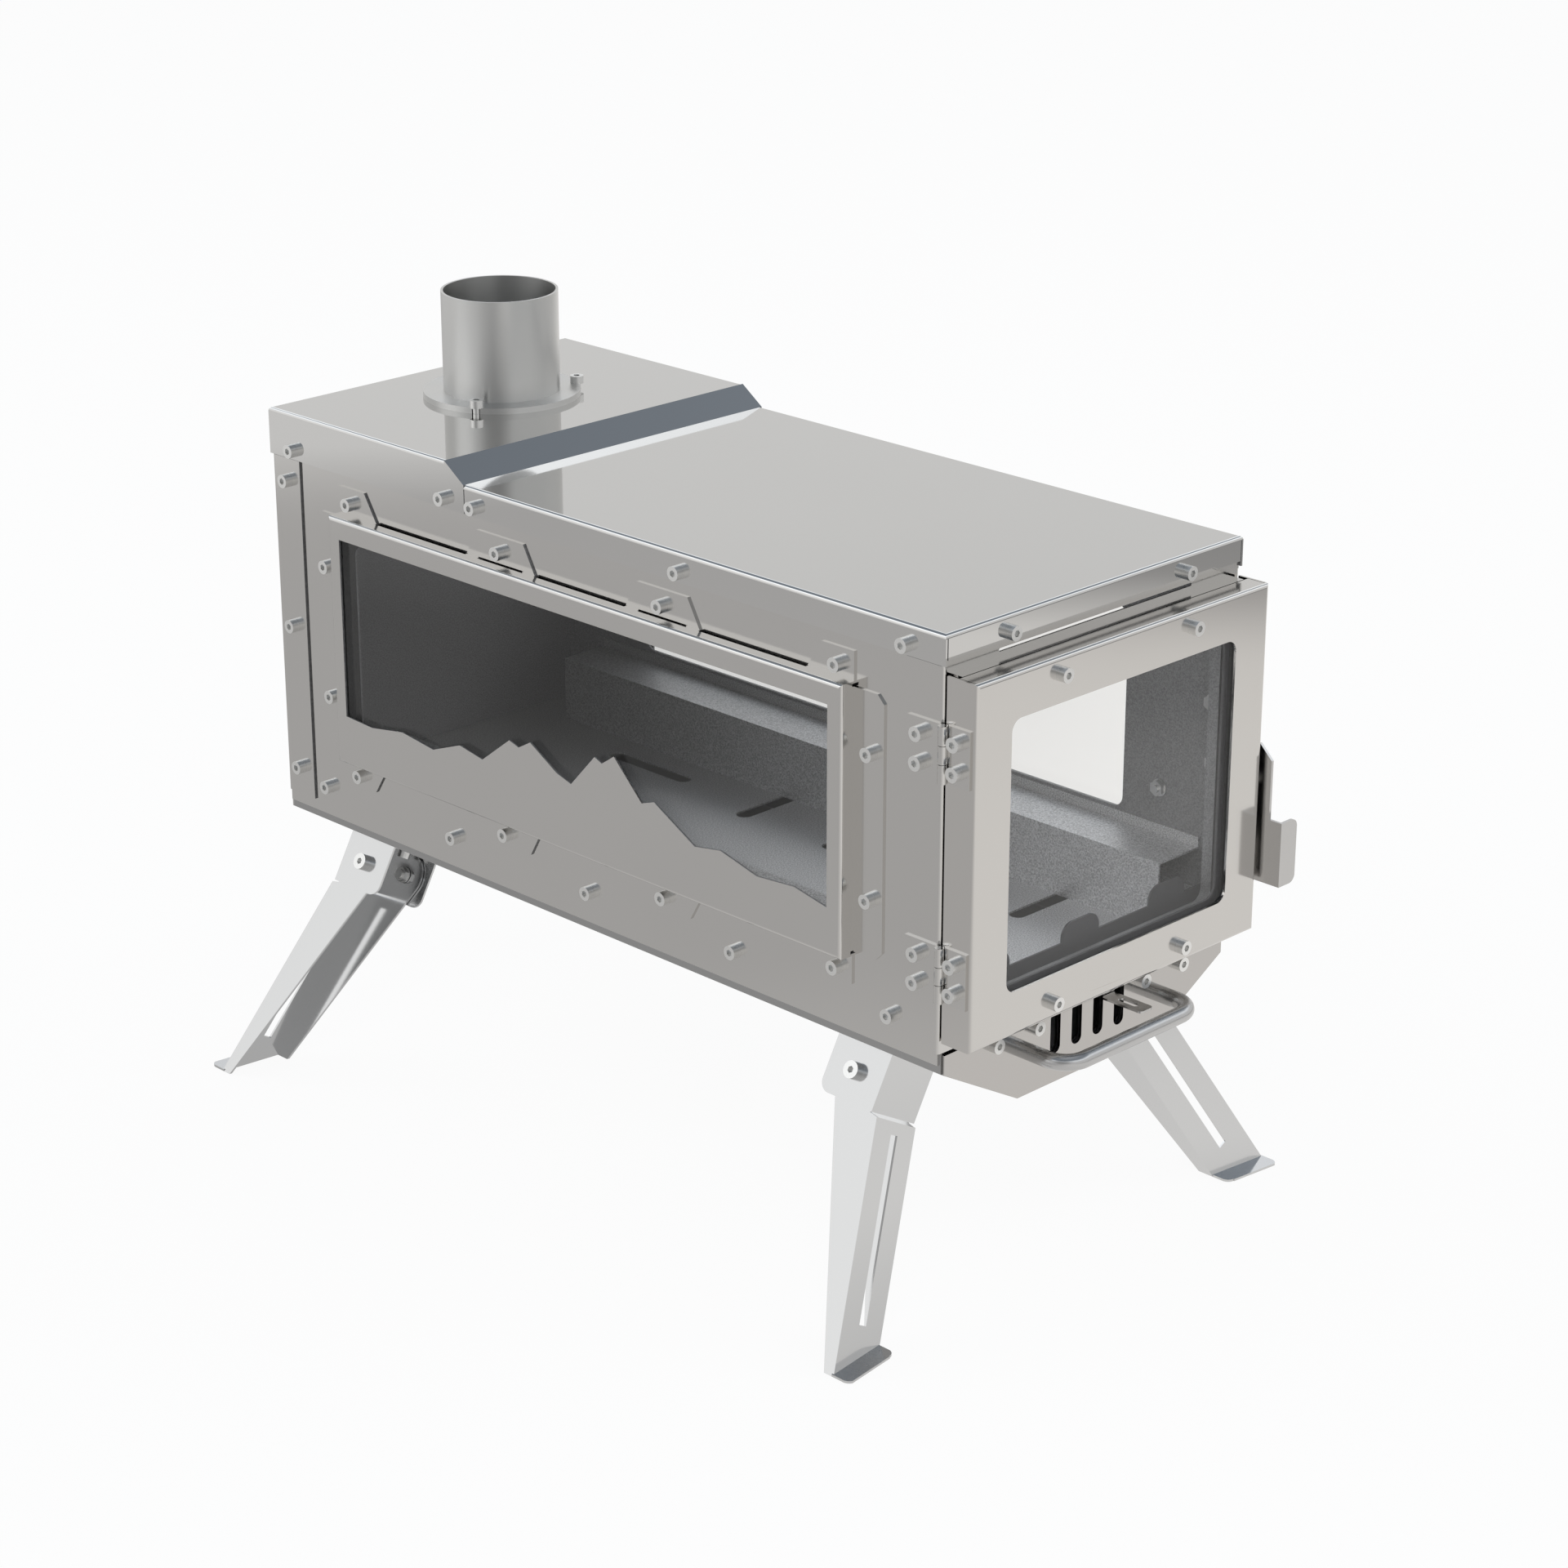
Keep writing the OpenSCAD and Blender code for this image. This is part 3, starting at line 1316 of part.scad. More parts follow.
// In the leg's own plane X runs forward off the pivot and Y down the leg
leg_len = foot_s / cos(splay_a);
free_a = 9.2;
ear_front_u = 11.2;
ear_front_v = 18;
module leg_side() {
    t = [-ear_r * cos(free_a), ear_r * sin(free_a)];
    difference() {
        union() {
            circle(ear_r);
            polygon([t, [0, 0], [ear_r, 0], [ear_front_u, ear_front_v], [web_off, web_start],
                [web_off, leg_len], [t[0] + (leg_len - t[1]) * tan(free_a), leg_len]]);
        }
        circle(d = pivot_d + pivot_play);
    }
}
module in_leg_plane(x, t) {
    translate([x, 0, -bolt_drop]) rotate([-splay_a, 0, 0]) rotate([90, 0, 90])
        linear_extrude(t) rotate(180) children();
}
module leg_channel() {
    x0 = leg_sheet + leg_play;
    in_leg_plane(x0, leg_sheet) leg_side();
    in_leg_plane(x0 + leg_w - leg_sheet, leg_sheet) leg_side();
    in_leg_plane(x0, leg_w) translate([web_off - leg_sheet, web_start])
        square([leg_sheet, leg_len - web_start]);
}
module leg_web_slot() {
    in_leg_plane((bracket_w - leg_slot_w) / 2, leg_slot_w)
        translate([web_off - 2 * leg_sheet, leg_slot_from]) square([3 * leg_sheet, leg_slot_l]);
}
module foot_pad() {
    x1 = root_x + foot_s * sin(slope_a) - foot_x0 / cos(slope_a);
    x0 = x1 - leg_w / cos(slope_a);
    y1 = front_leg_y - foot_y;
    y0 = front_leg_y - inner_foot_y;
    lap = leg_sheet / cos(splay_a);
    translate([0, 0, -foot_drop]) linear_extrude(leg_sheet) difference() {
        polygon([[x1, y1 + lap], [x0, y0 + lap], [x0, y0 - toe_l], [x1, y1 - toe_l]]);
        translate([x1 - toe_r, y1 - toe_l + toe_r]) rotate(-90) corner_bite(toe_r);
        translate([x0 + toe_r, y0 - toe_l + toe_r]) rotate(180) corner_bite(toe_r);
    }
}
module leg() {
    color("#c4c4c4") {
        difference() {
            leg_place() difference() {
                leg_channel();
                leg_web_slot();
            }
            translate([0, -body_l, -foot_drop - leg_len])
                cube([2 * body_l, 2 * body_l, leg_len]);
        }
        foot_pad();
    }
}
module rear_leg() {
    translate([0, body_l - rear_leg_y + front_leg_y, 0]) mirror([0, 1, 0]) leg();
}
module front_left_leg() { at_body() other_side() leg(); }
module front_right_leg() { at_body() leg(); }
module rear_left_leg() { at_body() other_side() rear_leg(); }
module rear_right_leg() { at_body() rear_leg(); }

// Pivots: a short bolt through each ear, with its nut inside the channel
module pivot_bolt() {
    grip = 2 * leg_sheet + 2 * leg_play;
    nut = pivot_d + 2 * hair;
    rotate([0, -90, 0]) {
        difference() {
            union() {
                cylinder(h = pivot_head_h, d = pivot_head_d);
                translate([0, 0, -grip - nut_h - leg_sheet])
                    cylinder(h = grip + nut_h + leg_sheet + hair, d = pivot_d);
            }
            translate([0, 0, pivot_head_h - socket_deep])
                cylinder(h = socket_deep + cut, d = socket_af / cos(hex_turn), $fn = 6);
        }
        translate([0, 0, -grip]) mirror([0, 0, 1]) flange_nut(nut);
    }
}
module leg_pivots() {
    at_body() color("#bdbebf") both_sides() all_bracket_places()
        translate([0, 0, -bolt_drop]) {
            pivot_bolt();
            translate([bracket_w, 0, 0]) mirror([1, 0, 0]) pivot_bolt();
        }
}
module bracket_screws() {
    at_body() color("#bdbebf") both_sides() all_bracket_places() bracket_screw_places()
        bolt_pair(leg_sheet + sheet);
}

left_side_panel();
right_side_panel();
front_frame();
rear_panel();
top_cover();
ash_hopper();
grate_floor();
left_log_rail();
right_log_rail();
front_log_guard();
smoke_baffle();
flue_collar();
flue_screws();
top_cover_screws();
left_casing_screws();
right_casing_screws();
left_window_frame();
right_window_frame();
left_window_glass();
right_window_glass();
left_window_gasket();
right_window_gasket();
left_window_screws();
right_window_screws();
door_shell();
door_glass();
door_gasket();
door_retainer();
door_screws();
hinge_body_leaves();
hinge_door_leaves();
hinge_pins();
hinge_body_screws();
hinge_door_screws();
latch_handle();
latch_pivot();
latch_keeper();
ash_tray();
drawer_front();
drawer_handle();
drawer_screws();
air_shutter();
front_left_bracket();
front_right_bracket();
rear_left_bracket();
rear_right_bracket();
front_left_leg();
front_right_leg();
rear_left_leg();
rear_right_leg();
leg_pivots();
bracket_screws();
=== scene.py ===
import bpy
from mathutils import Matrix, Vector

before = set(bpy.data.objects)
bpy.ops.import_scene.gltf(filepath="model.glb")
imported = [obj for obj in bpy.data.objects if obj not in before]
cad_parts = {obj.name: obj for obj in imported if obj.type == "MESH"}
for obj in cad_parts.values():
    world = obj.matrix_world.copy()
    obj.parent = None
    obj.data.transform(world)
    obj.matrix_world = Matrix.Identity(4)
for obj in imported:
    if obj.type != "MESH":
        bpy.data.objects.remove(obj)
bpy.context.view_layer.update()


# The casing: side panels, rear panel and window frames are folded from thin stainless sheet
# with a fine rolled finish. The sheet is bright and nearly mirror smooth, a little cloudy.
def rolled_sheet_group():
    group = bpy.data.node_groups.new("rolled_sheet", "ShaderNodeTree")
    sock = group.interface.new_socket
    sock(name="Tone", in_out="INPUT", socket_type="NodeSocketColor")
    sock(name="Cloud", in_out="INPUT", socket_type="NodeSocketFloat")
    sock(name="Gloss Low", in_out="INPUT", socket_type="NodeSocketFloat")
    sock(name="Gloss High", in_out="INPUT", socket_type="NodeSocketFloat")
    sock(name="Color", in_out="OUTPUT", socket_type="NodeSocketColor")
    sock(name="Roughness", in_out="OUTPUT", socket_type="NodeSocketFloat")
    nodes, links = group.nodes, group.links
    start, end = nodes.new("NodeGroupInput"), nodes.new("NodeGroupOutput")
    place = nodes.new("ShaderNodeTexCoord")
    cloud = nodes.new("ShaderNodeTexNoise")
    cloud.inputs["Scale"].default_value = 9.0
    cloud.inputs["Detail"].default_value = 3.0
    links.new(place.outputs["Object"], cloud.inputs["Vector"])
    span = nodes.new("ShaderNodeMapRange")
    links.new(cloud.outputs["Fac"], span.inputs["Value"])
    links.new(start.outputs["Gloss Low"], span.inputs["To Min"])
    links.new(start.outputs["Gloss High"], span.inputs["To Max"])
    links.new(span.outputs["Result"], end.inputs["Roughness"])
    shade = nodes.new("ShaderNodeMix")
    shade.data_type = "RGBA"
    shade.blend_type = "MULTIPLY"
    links.new(start.outputs["Cloud"], shade.inputs["Factor"])
    links.new(start.outputs["Tone"], shade.inputs["A"])
    grey = nodes.new("ShaderNodeRGBToBW")
    links.new(cloud.outputs["Color"], grey.inputs["Color"])
    links.new(grey.outputs["Val"], shade.inputs["B"])
    links.new(shade.outputs["Result"], end.inputs["Color"])
    return group


rolled_sheet = rolled_sheet_group()


def new_material(name):
    material = bpy.data.materials.new(name)
    material.use_nodes = True
    nodes, links = material.node_tree.nodes, material.node_tree.links
    return material, nodes, links, nodes["Principled BSDF"]


def sheet_steel(name, tone, gloss, cloud=0.05):
    material, nodes, links, shader = new_material(name)
    shader.inputs["Metallic"].default_value = 1.0
    grain = nodes.new("ShaderNodeGroup")
    grain.node_tree = rolled_sheet
    grain.inputs["Tone"].default_value = (*tone, 1.0)
    grain.inputs["Cloud"].default_value = cloud
    grain.inputs["Gloss Low"].default_value = gloss[0]
    grain.inputs["Gloss High"].default_value = gloss[1]
    links.new(grain.outputs["Color"], shader.inputs["Base Color"])
    links.new(grain.outputs["Roughness"], shader.inputs["Roughness"])
    return material


def dress(material, *names):
    for name in names:
        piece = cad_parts[name]
        piece.data.materials.clear()
        piece.data.materials.append(material)


# The side of the sheet that faces the fire keeps its grey, grainy mill finish. That side is
# found where the surface points back to the middle of the casing.
def fire_side_group():
    group = bpy.data.node_groups.new("fire_side", "ShaderNodeTree")
    sock = group.interface.new_socket
    sock(name="Middle", in_out="INPUT", socket_type="NodeSocketVector")
    sock(name="Mask", in_out="OUTPUT", socket_type="NodeSocketFloat")
    nodes, links = group.nodes, group.links
    start, end = nodes.new("NodeGroupInput"), nodes.new("NodeGroupOutput")
    place = nodes.new("ShaderNodeTexCoord")
    spoke = nodes.new("ShaderNodeVectorMath")
    spoke.operation = "SUBTRACT"
    links.new(place.outputs["Object"], spoke.inputs[0])
    links.new(start.outputs["Middle"], spoke.inputs[1])
    facing = nodes.new("ShaderNodeVectorMath")
    facing.operation = "DOT_PRODUCT"
    links.new(place.outputs["Normal"], facing.inputs[0])
    links.new(spoke.outputs["Vector"], facing.inputs[1])
    inner = nodes.new("ShaderNodeMath")
    inner.operation = "LESS_THAN"
    inner.inputs[1].default_value = -0.002
    links.new(facing.outputs["Value"], inner.inputs[0])
    links.new(inner.outputs["Value"], end.inputs["Mask"])
    return group


# The grain group also multiplies in painted shade that darkens it from the front towards the rear.
def grain_and_rear_shade_group():
    group = bpy.data.node_groups.new("grain_and_rear_shade", "ShaderNodeTree")
    sock = group.interface.new_socket
    sock(name="Tone", in_out="INPUT", socket_type="NodeSocketVector")
    sock(name="Speck", in_out="INPUT", socket_type="NodeSocketFloat")
    sock(name="Color", in_out="OUTPUT", socket_type="NodeSocketColor")
    nodes, links = group.nodes, group.links
    start, end = nodes.new("NodeGroupInput"), nodes.new("NodeGroupOutput")
    place = nodes.new("ShaderNodeTexCoord")
    grains = nodes.new("ShaderNodeTexNoise")
    grains.inputs["Scale"].default_value = 1500.0
    grains.inputs["Detail"].default_value = 1.0
    links.new(place.outputs["Object"], grains.inputs["Vector"])
    spread = nodes.new("ShaderNodeMapRange")
    spread.inputs["From Min"].default_value = 0.3
    spread.inputs["From Max"].default_value = 0.7
    spread.inputs["To Min"].default_value = -1.0
    spread.inputs["To Max"].default_value = 1.0
    links.new(grains.outputs["Fac"], spread.inputs["Value"])
    swing = nodes.new("ShaderNodeMath")
    swing.operation = "MULTIPLY_ADD"
    swing.inputs[2].default_value = 1.0
    links.new(spread.outputs["Result"], swing.inputs[0])
    links.new(start.outputs["Speck"], swing.inputs[1])
    # painted shade: darker from the front towards the flue at the rear, where less light reaches
    # in, and a little lighter than the tone at the front
    parts = nodes.new("ShaderNodeSeparateXYZ")
    links.new(place.outputs["Object"], parts.inputs["Vector"])
    painted_rear_shade = nodes.new("ShaderNodeMapRange")
    painted_rear_shade.inputs["From Min"].default_value = -0.2
    painted_rear_shade.inputs["From Max"].default_value = 0.25
    painted_rear_shade.inputs["To Min"].default_value = 1.1
    painted_rear_shade.inputs["To Max"].default_value = 0.4
    links.new(parts.outputs["Y"], painted_rear_shade.inputs["Value"])
    dimmed = nodes.new("ShaderNodeMath")
    dimmed.operation = "MULTIPLY"
    links.new(swing.outputs["Value"], dimmed.inputs[0])
    links.new(painted_rear_shade.outputs["Result"], dimmed.inputs[1])
    shade = nodes.new("ShaderNodeVectorMath")
    shade.operation = "SCALE"
    links.new(start.outputs["Tone"], shade.inputs[0])
    links.new(dimmed.outputs["Value"], shade.inputs["Scale"])
    links.new(shade.outputs["Vector"], end.inputs["Color"])
    return group


fire_side = fire_side_group()
grain_and_rear_shade = grain_and_rear_shade_group()


CASING_MIDDLE = (0.0, 0.0, 0.25)
MILL_TONE = (0.33, 0.33, 0.335)
MILL_DULLNESS = 0.55
MILL_METAL = 0.5


def with_bare_inside(material):
    nodes, links = material.node_tree.nodes, material.node_tree.links
    shader = nodes["Principled BSDF"]
    side = nodes.new("ShaderNodeGroup")
    side.node_tree = fire_side
    side.inputs["Middle"].default_value = CASING_MIDDLE
    # the inner faces take the mill grain with its painted shade, darker from the front towards the
    # rear
    grain = nodes.new("ShaderNodeGroup")
    grain.node_tree = grain_and_rear_shade
    grain.inputs["Tone"].default_value = MILL_TONE
    grain.inputs["Speck"].default_value = 0.28
    color = nodes.new("ShaderNodeMix")
    color.data_type = "RGBA"
    links.new(side.outputs["Mask"], color.inputs["Factor"])
    links.new(shader.inputs["Base Color"].links[0].from_socket, color.inputs["A"])
    links.new(grain.outputs["Color"], color.inputs["B"])
    links.new(color.outputs["Result"], shader.inputs["Base Color"])
    gloss = nodes.new("ShaderNodeMapRange")
    links.new(side.outputs["Mask"], gloss.inputs["Value"])
    links.new(shader.inputs["Roughness"].links[0].from_socket, gloss.inputs["To Min"])
    gloss.inputs["To Max"].default_value = MILL_DULLNESS
    links.new(gloss.outputs["Result"], shader.inputs["Roughness"])
    shine = nodes.new("ShaderNodeMapRange")
    shine.inputs["To Min"].default_value = 1.0
    shine.inputs["To Max"].default_value = MILL_METAL
    links.new(side.outputs["Mask"], shine.inputs["Value"])
    links.new(shine.outputs["Result"], shader.inputs["Metallic"])
    return material


CASING_TONE = (0.63, 0.62, 0.605)
CASING_GLOSS = (0.1, 0.16)
dress(with_bare_inside(sheet_steel("casing_sheet", CASING_TONE, CASING_GLOSS)),
      "left_side_panel", "right_side_panel", "rear_panel", "front_frame",
      "left_window_frame", "right_window_frame")


# The top cover: one sheet folded down all round, with a ramp up to the flue deck. It is the
# same stainless sheet, polished until the flue mirrors in it.
dress(with_bare_inside(
    sheet_steel("cover_sheet", (0.63, 0.625, 0.615), gloss=(0.03, 0.06), cloud=0.03)), "top_cover")


# The door tray and the drawer front: folded from the same sheet, the tray hung on hinges.
# The drawer front's darker tone is painted shade, low down by the floor.
dress(sheet_steel("door_sheet", (0.64, 0.625, 0.605), gloss=(0.1, 0.15)), "door_shell")
dress(sheet_steel("drawer_sheet_painted_shade", (0.53, 0.515, 0.5), gloss=(0.1, 0.15)), "drawer_front")


# The belly and the ash tray: the same sheet seen from below and inside, duller, with a darker
# tone that is painted shade under the stove.
dress(sheet_steel("belly_sheet_painted_shade", (0.42, 0.42, 0.42), gloss=(0.25, 0.4)),
      "ash_hopper", "ash_tray")


# The fire side pieces: grate, rails, baffle, and the darker guard and door retainer. They are
# folded from sheet that is dulled and speckled by the mill scale left on it, and painted shade
# darkens them from the front towards the rear.
def speckled_steel(name, tone, metal, speck):
    material, nodes, links, shader = new_material(name)
    shader.inputs["Metallic"].default_value = metal
    shader.inputs["Roughness"].default_value = 0.5
    grain = nodes.new("ShaderNodeGroup")
    grain.node_tree = grain_and_rear_shade
    grain.inputs["Tone"].default_value = tone
    grain.inputs["Speck"].default_value = speck
    links.new(grain.outputs["Color"], shader.inputs["Base Color"])
    return material


dress(speckled_steel("fire_sheet", (0.7, 0.7, 0.705), 0.7, 0.35),
      "grate_floor", "left_log_rail", "right_log_rail", "smoke_baffle")
dress(speckled_steel("guard_sheet", (0.1, 0.1, 0.105), 0.4, 0.15),
      "front_log_guard", "door_retainer")


# The glass: clear heat-proof panes in the door and both sides, clamped on rope seals.
def pane_glass(name):
    material, nodes, links, shader = new_material(name)
    shader.inputs["Base Color"].default_value = (0.995, 1.0, 1.0, 1.0)
    shader.inputs["Roughness"].default_value = 0.01
    shader.inputs["IOR"].default_value = 1.3
    shader.inputs["Transmission Weight"].default_value = 1.0
    path = nodes.new("ShaderNodeLightPath")
    through = nodes.new("ShaderNodeMath")
    through.operation = "MAXIMUM"
    links.new(path.outputs["Is Camera Ray"], through.inputs[0])
    links.new(path.outputs["Is Transmission Ray"], through.inputs[1])
    clear = nodes.new("ShaderNodeMapRange")
    clear.inputs["To Min"].default_value = 0.08
    clear.inputs["To Max"].default_value = 1.0
    links.new(through.outputs["Value"], clear.inputs["Value"])
    links.new(clear.outputs["Result"], shader.inputs["Alpha"])
    return material


dress(pane_glass("clear_pane"), "door_glass", "left_window_glass", "right_window_glass")


# The rope seals: woven black fibre round the panes and round the door's mouth.
def emboss(nodes, links, shader, height, strength, depth):
    bump = nodes.new("ShaderNodeBump")
    bump.inputs["Strength"].default_value = strength
    bump.inputs["Distance"].default_value = depth
    links.new(height, bump.inputs["Height"])
    links.new(bump.outputs["Normal"], shader.inputs["Normal"])


def woven_rope(name):
    material, nodes, links, shader = new_material(name)
    shader.inputs["Base Color"].default_value = (0.025, 0.025, 0.025, 1.0)
    shader.inputs["Roughness"].default_value = 0.95
    place = nodes.new("ShaderNodeTexCoord")
    weave = nodes.new("ShaderNodeTexVoronoi")
    weave.inputs["Scale"].default_value = 700.0
    links.new(place.outputs["Object"], weave.inputs["Vector"])
    emboss(nodes, links, shader, weave.outputs["Distance"], 0.6, 0.0004)
    return material


dress(woven_rope("black_rope"), "door_gasket", "left_window_gasket", "right_window_gasket")


# The flue collar: a laser-cut ring with a rolled tube welded to it, brushed round the tube.
def brushed_tube(name, tone):
    material = sheet_steel(name, tone, gloss=(0.26, 0.34))
    nodes, links = material.node_tree.nodes, material.node_tree.links
    shader = nodes["Principled BSDF"]
    shader.inputs["Anisotropic"].default_value = 0.85
    shader.inputs["Anisotropic Rotation"].default_value = 0.25
    place = nodes.new("ShaderNodeTexCoord")
    along = nodes.new("ShaderNodeMapping")
    along.inputs["Scale"].default_value = (4.0, 4.0, 900.0)
    links.new(place.outputs["Object"], along.inputs["Vector"])
    lines = nodes.new("ShaderNodeTexNoise")
    lines.inputs["Scale"].default_value = 1.0
    lines.inputs["Detail"].default_value = 2.0
    links.new(along.outputs["Vector"], lines.inputs["Vector"])
    emboss(nodes, links, shader, lines.outputs["Fac"], 0.12, 0.0002)
    return material


dress(brushed_tube("flue_tube", (0.62, 0.62, 0.61)), "flue_collar")


# The fasteners: bright machined screws, flanged nuts, hinge pins, latch stud and leg bolts.
dress(sheet_steel("bright_screw", (0.82, 0.82, 0.81), gloss=(0.28, 0.36)),
      "top_cover_screws", "left_casing_screws", "right_casing_screws", "left_window_screws",
      "right_window_screws", "door_screws", "hinge_body_screws", "hinge_door_screws",
      "hinge_pins", "latch_pivot", "latch_keeper", "drawer_screws", "leg_pivots",
      "bracket_screws", "flue_screws")


# The fittings: hinge leaves cut from the casing's sheet, a thicker latch plate, the air slide
# and the bent rod handle.
dress(sheet_steel("leaf_sheet", CASING_TONE, CASING_GLOSS),
      "hinge_body_leaves", "hinge_door_leaves")
dress(sheet_steel("fitting_steel", (0.56, 0.555, 0.55), gloss=(0.15, 0.24)),
      "latch_handle", "air_shutter")
dress(sheet_steel("rod_steel", (0.54, 0.54, 0.54), gloss=(0.2, 0.3)), "drawer_handle")


# The legs and brackets: folded channels with laser-cut slots, bolted under the belly.
dress(sheet_steel("leg_sheet", (0.64, 0.645, 0.65), gloss=(0.1, 0.15)),
      "front_left_bracket", "front_right_bracket", "rear_left_bracket", "rear_right_bracket",
      "front_left_leg", "front_right_leg", "rear_left_leg", "rear_right_leg")


# The studio: a white floor that keeps the stove's shadow, and a white room round it. Metal
# sees the floor darker towards the left rear and far out at the front right, and a pale band
# above the horizon under a darker ceiling.
FLOOR_SIZE = 16.0
FLOOR_DROP = 0.0005
FLOOR_REACH = 1.4
WHITE_SHARE = 0.93


def tone_ramp(nodes, first, last, *between):
    ramp = nodes.new("ShaderNodeValToRGB")
    stops = ramp.color_ramp.elements
    stops[0].position, stops[0].color = 0.0, (*first, 1.0)
    stops[1].position, stops[1].color = 1.0, (*last, 1.0)
    for spot, tone in between:
        stops.new(spot).color = (*tone, 1.0)
    return ramp


def studio_floor():
    bpy.ops.object.select_all(action="DESELECT")
    bpy.ops.mesh.primitive_plane_add(size=FLOOR_SIZE, location=(0.0, 0.0, -FLOOR_DROP))
    floor = bpy.context.object
    floor.name = "studio_floor"
    material, nodes, links, shader = new_material("white_floor")
    shader.inputs["Base Color"].default_value = (0.9, 0.9, 0.9, 1.0)
    shader.inputs["Roughness"].default_value = 0.9
    shader.inputs["Specular IOR Level"].default_value = 0.0
    place = nodes.new("ShaderNodeTexCoord")
    across = nodes.new("ShaderNodeVectorMath")
    across.operation = "DOT_PRODUCT"
    across.inputs[1].default_value = (0.7, -0.7, 0.0)
    links.new(place.outputs["Object"], across.inputs[0])
    fade = tone_ramp(nodes, (0.85, 0.845, 0.84), (0.35, 0.35, 0.35),
                     (0.06, (0.55, 0.545, 0.54)), (0.2, (0.56, 0.555, 0.55)),
                     (0.375, (0.55, 0.545, 0.54)), (0.625, (0.92, 0.905, 0.885)),
                     (0.89, (0.9, 0.885, 0.865)), (0.94, (0.4, 0.395, 0.39)))
    span = nodes.new("ShaderNodeMapRange")
    span.inputs["From Min"].default_value = -FLOOR_REACH
    span.inputs["From Max"].default_value = FLOOR_REACH
    links.new(across.outputs["Value"], span.inputs["Value"])
    links.new(span.outputs["Result"], fade.inputs["Fac"])
    glow = nodes.new("ShaderNodeEmission")
    links.new(fade.outputs["Color"], glow.inputs["Color"])
    white = nodes.new("ShaderNodeEmission")
    path = nodes.new("ShaderNodeLightPath")
    share = nodes.new("ShaderNodeMath")
    share.operation = "MULTIPLY"
    share.inputs[1].default_value = WHITE_SHARE
    links.new(path.outputs["Is Camera Ray"], share.inputs[0])
    seen = nodes.new("ShaderNodeMixShader")
    links.new(share.outputs["Value"], seen.inputs["Fac"])
    links.new(shader.outputs["BSDF"], seen.inputs[1])
    links.new(white.outputs["Emission"], seen.inputs[2])
    mirrored = nodes.new("ShaderNodeMixShader")
    links.new(path.outputs["Is Glossy Ray"], mirrored.inputs["Fac"])
    links.new(seen.outputs["Shader"], mirrored.inputs[1])
    links.new(glow.outputs["Emission"], mirrored.inputs[2])
    links.new(mirrored.outputs["Shader"], nodes["Material Output"].inputs["Surface"])
    floor.data.materials.append(material)


studio_floor()


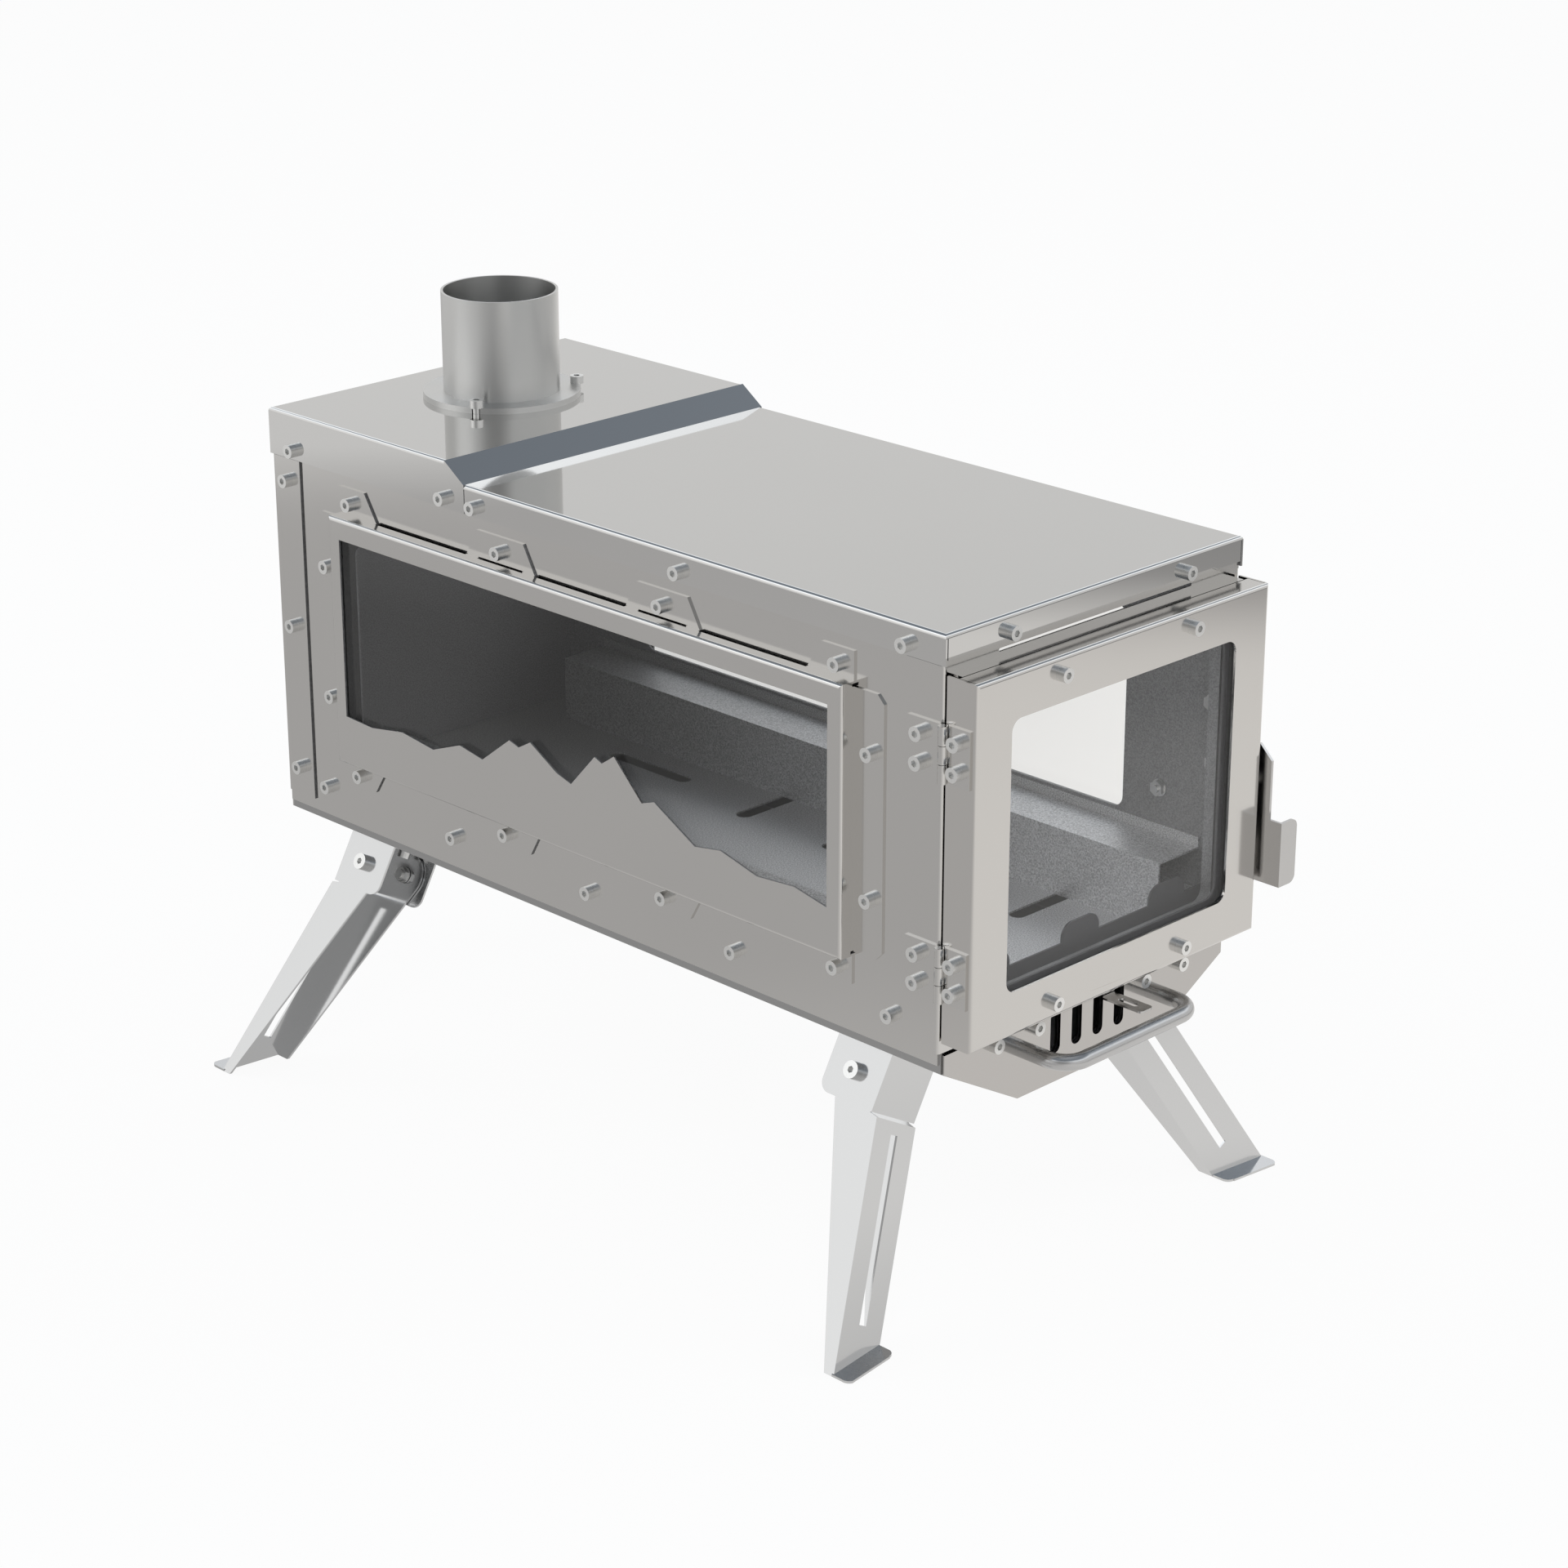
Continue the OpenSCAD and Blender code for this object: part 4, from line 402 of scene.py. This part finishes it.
def studio_room():
    world = bpy.context.scene.world or bpy.data.worlds.new("studio")
    bpy.context.scene.world = world
    world.use_nodes = True
    nodes, links = world.node_tree.nodes, world.node_tree.links
    nodes.clear()
    place = nodes.new("ShaderNodeTexCoord")
    parts = nodes.new("ShaderNodeSeparateXYZ")
    links.new(place.outputs["Generated"], parts.inputs["Vector"])
    height = tone_ramp(nodes, (0.86, 0.855, 0.845), (0.5, 0.52, 0.55),
                       (0.36, (0.77, 0.77, 0.765)), (0.45, (0.95, 0.97, 1.0)),
                       (0.59, (1.6, 1.65, 1.7)), (0.66, (0.3, 0.34, 0.39)),
                       (0.8, (0.22, 0.25, 0.29)))
    links.new(parts.outputs["Z"], height.inputs["Fac"])
    # a long bright window low on the left, and a dim gap beside it behind the camera
    level = height.outputs["Color"]
    for aim, narrow, gain in (((-0.765, 0.535, 0.36), 0.86, 0.5),
                              ((-0.78, -0.51, 0.36), 0.8, -0.55)):
        toward = nodes.new("ShaderNodeVectorMath")
        toward.operation = "DOT_PRODUCT"
        toward.inputs[1].default_value = aim
        links.new(place.outputs["Generated"], toward.inputs[0])
        lobe = nodes.new("ShaderNodeMapRange")
        lobe.interpolation_type = "SMOOTHSTEP"
        lobe.inputs["From Min"].default_value = narrow
        lobe.inputs["To Min"].default_value = 1.0
        lobe.inputs["To Max"].default_value = 1.0 + gain
        links.new(toward.outputs["Value"], lobe.inputs["Value"])
        scaled = nodes.new("ShaderNodeVectorMath")
        scaled.operation = "SCALE"
        links.new(level, scaled.inputs[0])
        links.new(lobe.outputs["Result"], scaled.inputs["Scale"])
        level = scaled.outputs["Vector"]
    light = nodes.new("ShaderNodeBackground")
    links.new(level, light.inputs["Color"])
    white = nodes.new("ShaderNodeBackground")
    white.inputs["Color"].default_value = (1.0, 1.0, 1.0, 1.0)
    path = nodes.new("ShaderNodeLightPath")
    plain = nodes.new("ShaderNodeMath")
    plain.operation = "MAXIMUM"
    links.new(path.outputs["Is Camera Ray"], plain.inputs[0])
    links.new(path.outputs["Is Transmission Ray"], plain.inputs[1])
    choose = nodes.new("ShaderNodeMixShader")
    links.new(plain.outputs["Value"], choose.inputs["Fac"])
    links.new(light.outputs["Background"], choose.inputs[1])
    links.new(white.outputs["Background"], choose.inputs[2])
    out = nodes.new("ShaderNodeOutputWorld")
    links.new(choose.outputs["Shader"], out.inputs["Surface"])


studio_room()


LAMP_AIM = (0.0, 0.0, 0.2)
LAMP_SIZE = 1.2


def soft_lamp(name, place, power):
    data = bpy.data.lights.new(name, "AREA")
    data.shape = "SQUARE"
    data.size = LAMP_SIZE
    data.energy = power
    lamp = bpy.data.objects.new(name, data)
    bpy.context.scene.collection.objects.link(lamp)
    lamp.location = place
    lamp.visible_glossy = False
    lamp.rotation_euler = (Vector(LAMP_AIM) - Vector(place)).to_track_quat("-Z", "Y").to_euler()


soft_lamp("key_lamp", (-1.6, -1.4, 2.2), 16.0)
soft_lamp("fill_lamp", (1.9, -1.6, 1.5), 8.0)
soft_lamp("rear_lamp", (-0.8, 2.0, 1.9), 8.0)


# The camera stands where the photograph was taken from, left of the door and above it.
camera_data = bpy.data.cameras.new("camera")
camera_data.sensor_width = 36.0
camera_data.lens = 85.91
camera = bpy.data.objects.new("camera", camera_data)
bpy.context.scene.collection.objects.link(camera)
camera.matrix_world = Matrix((
    (0.70788, 0.253815, -0.659154, -1.21847),
    (-0.706333, 0.254558, -0.660526, -1.244098),
    (0.000142, 0.933155, 0.359474, 0.85864),
    (0.0, 0.0, 0.0, 1.0)))
bpy.context.scene.camera = camera
bpy.context.scene.view_settings.view_transform = "Standard"
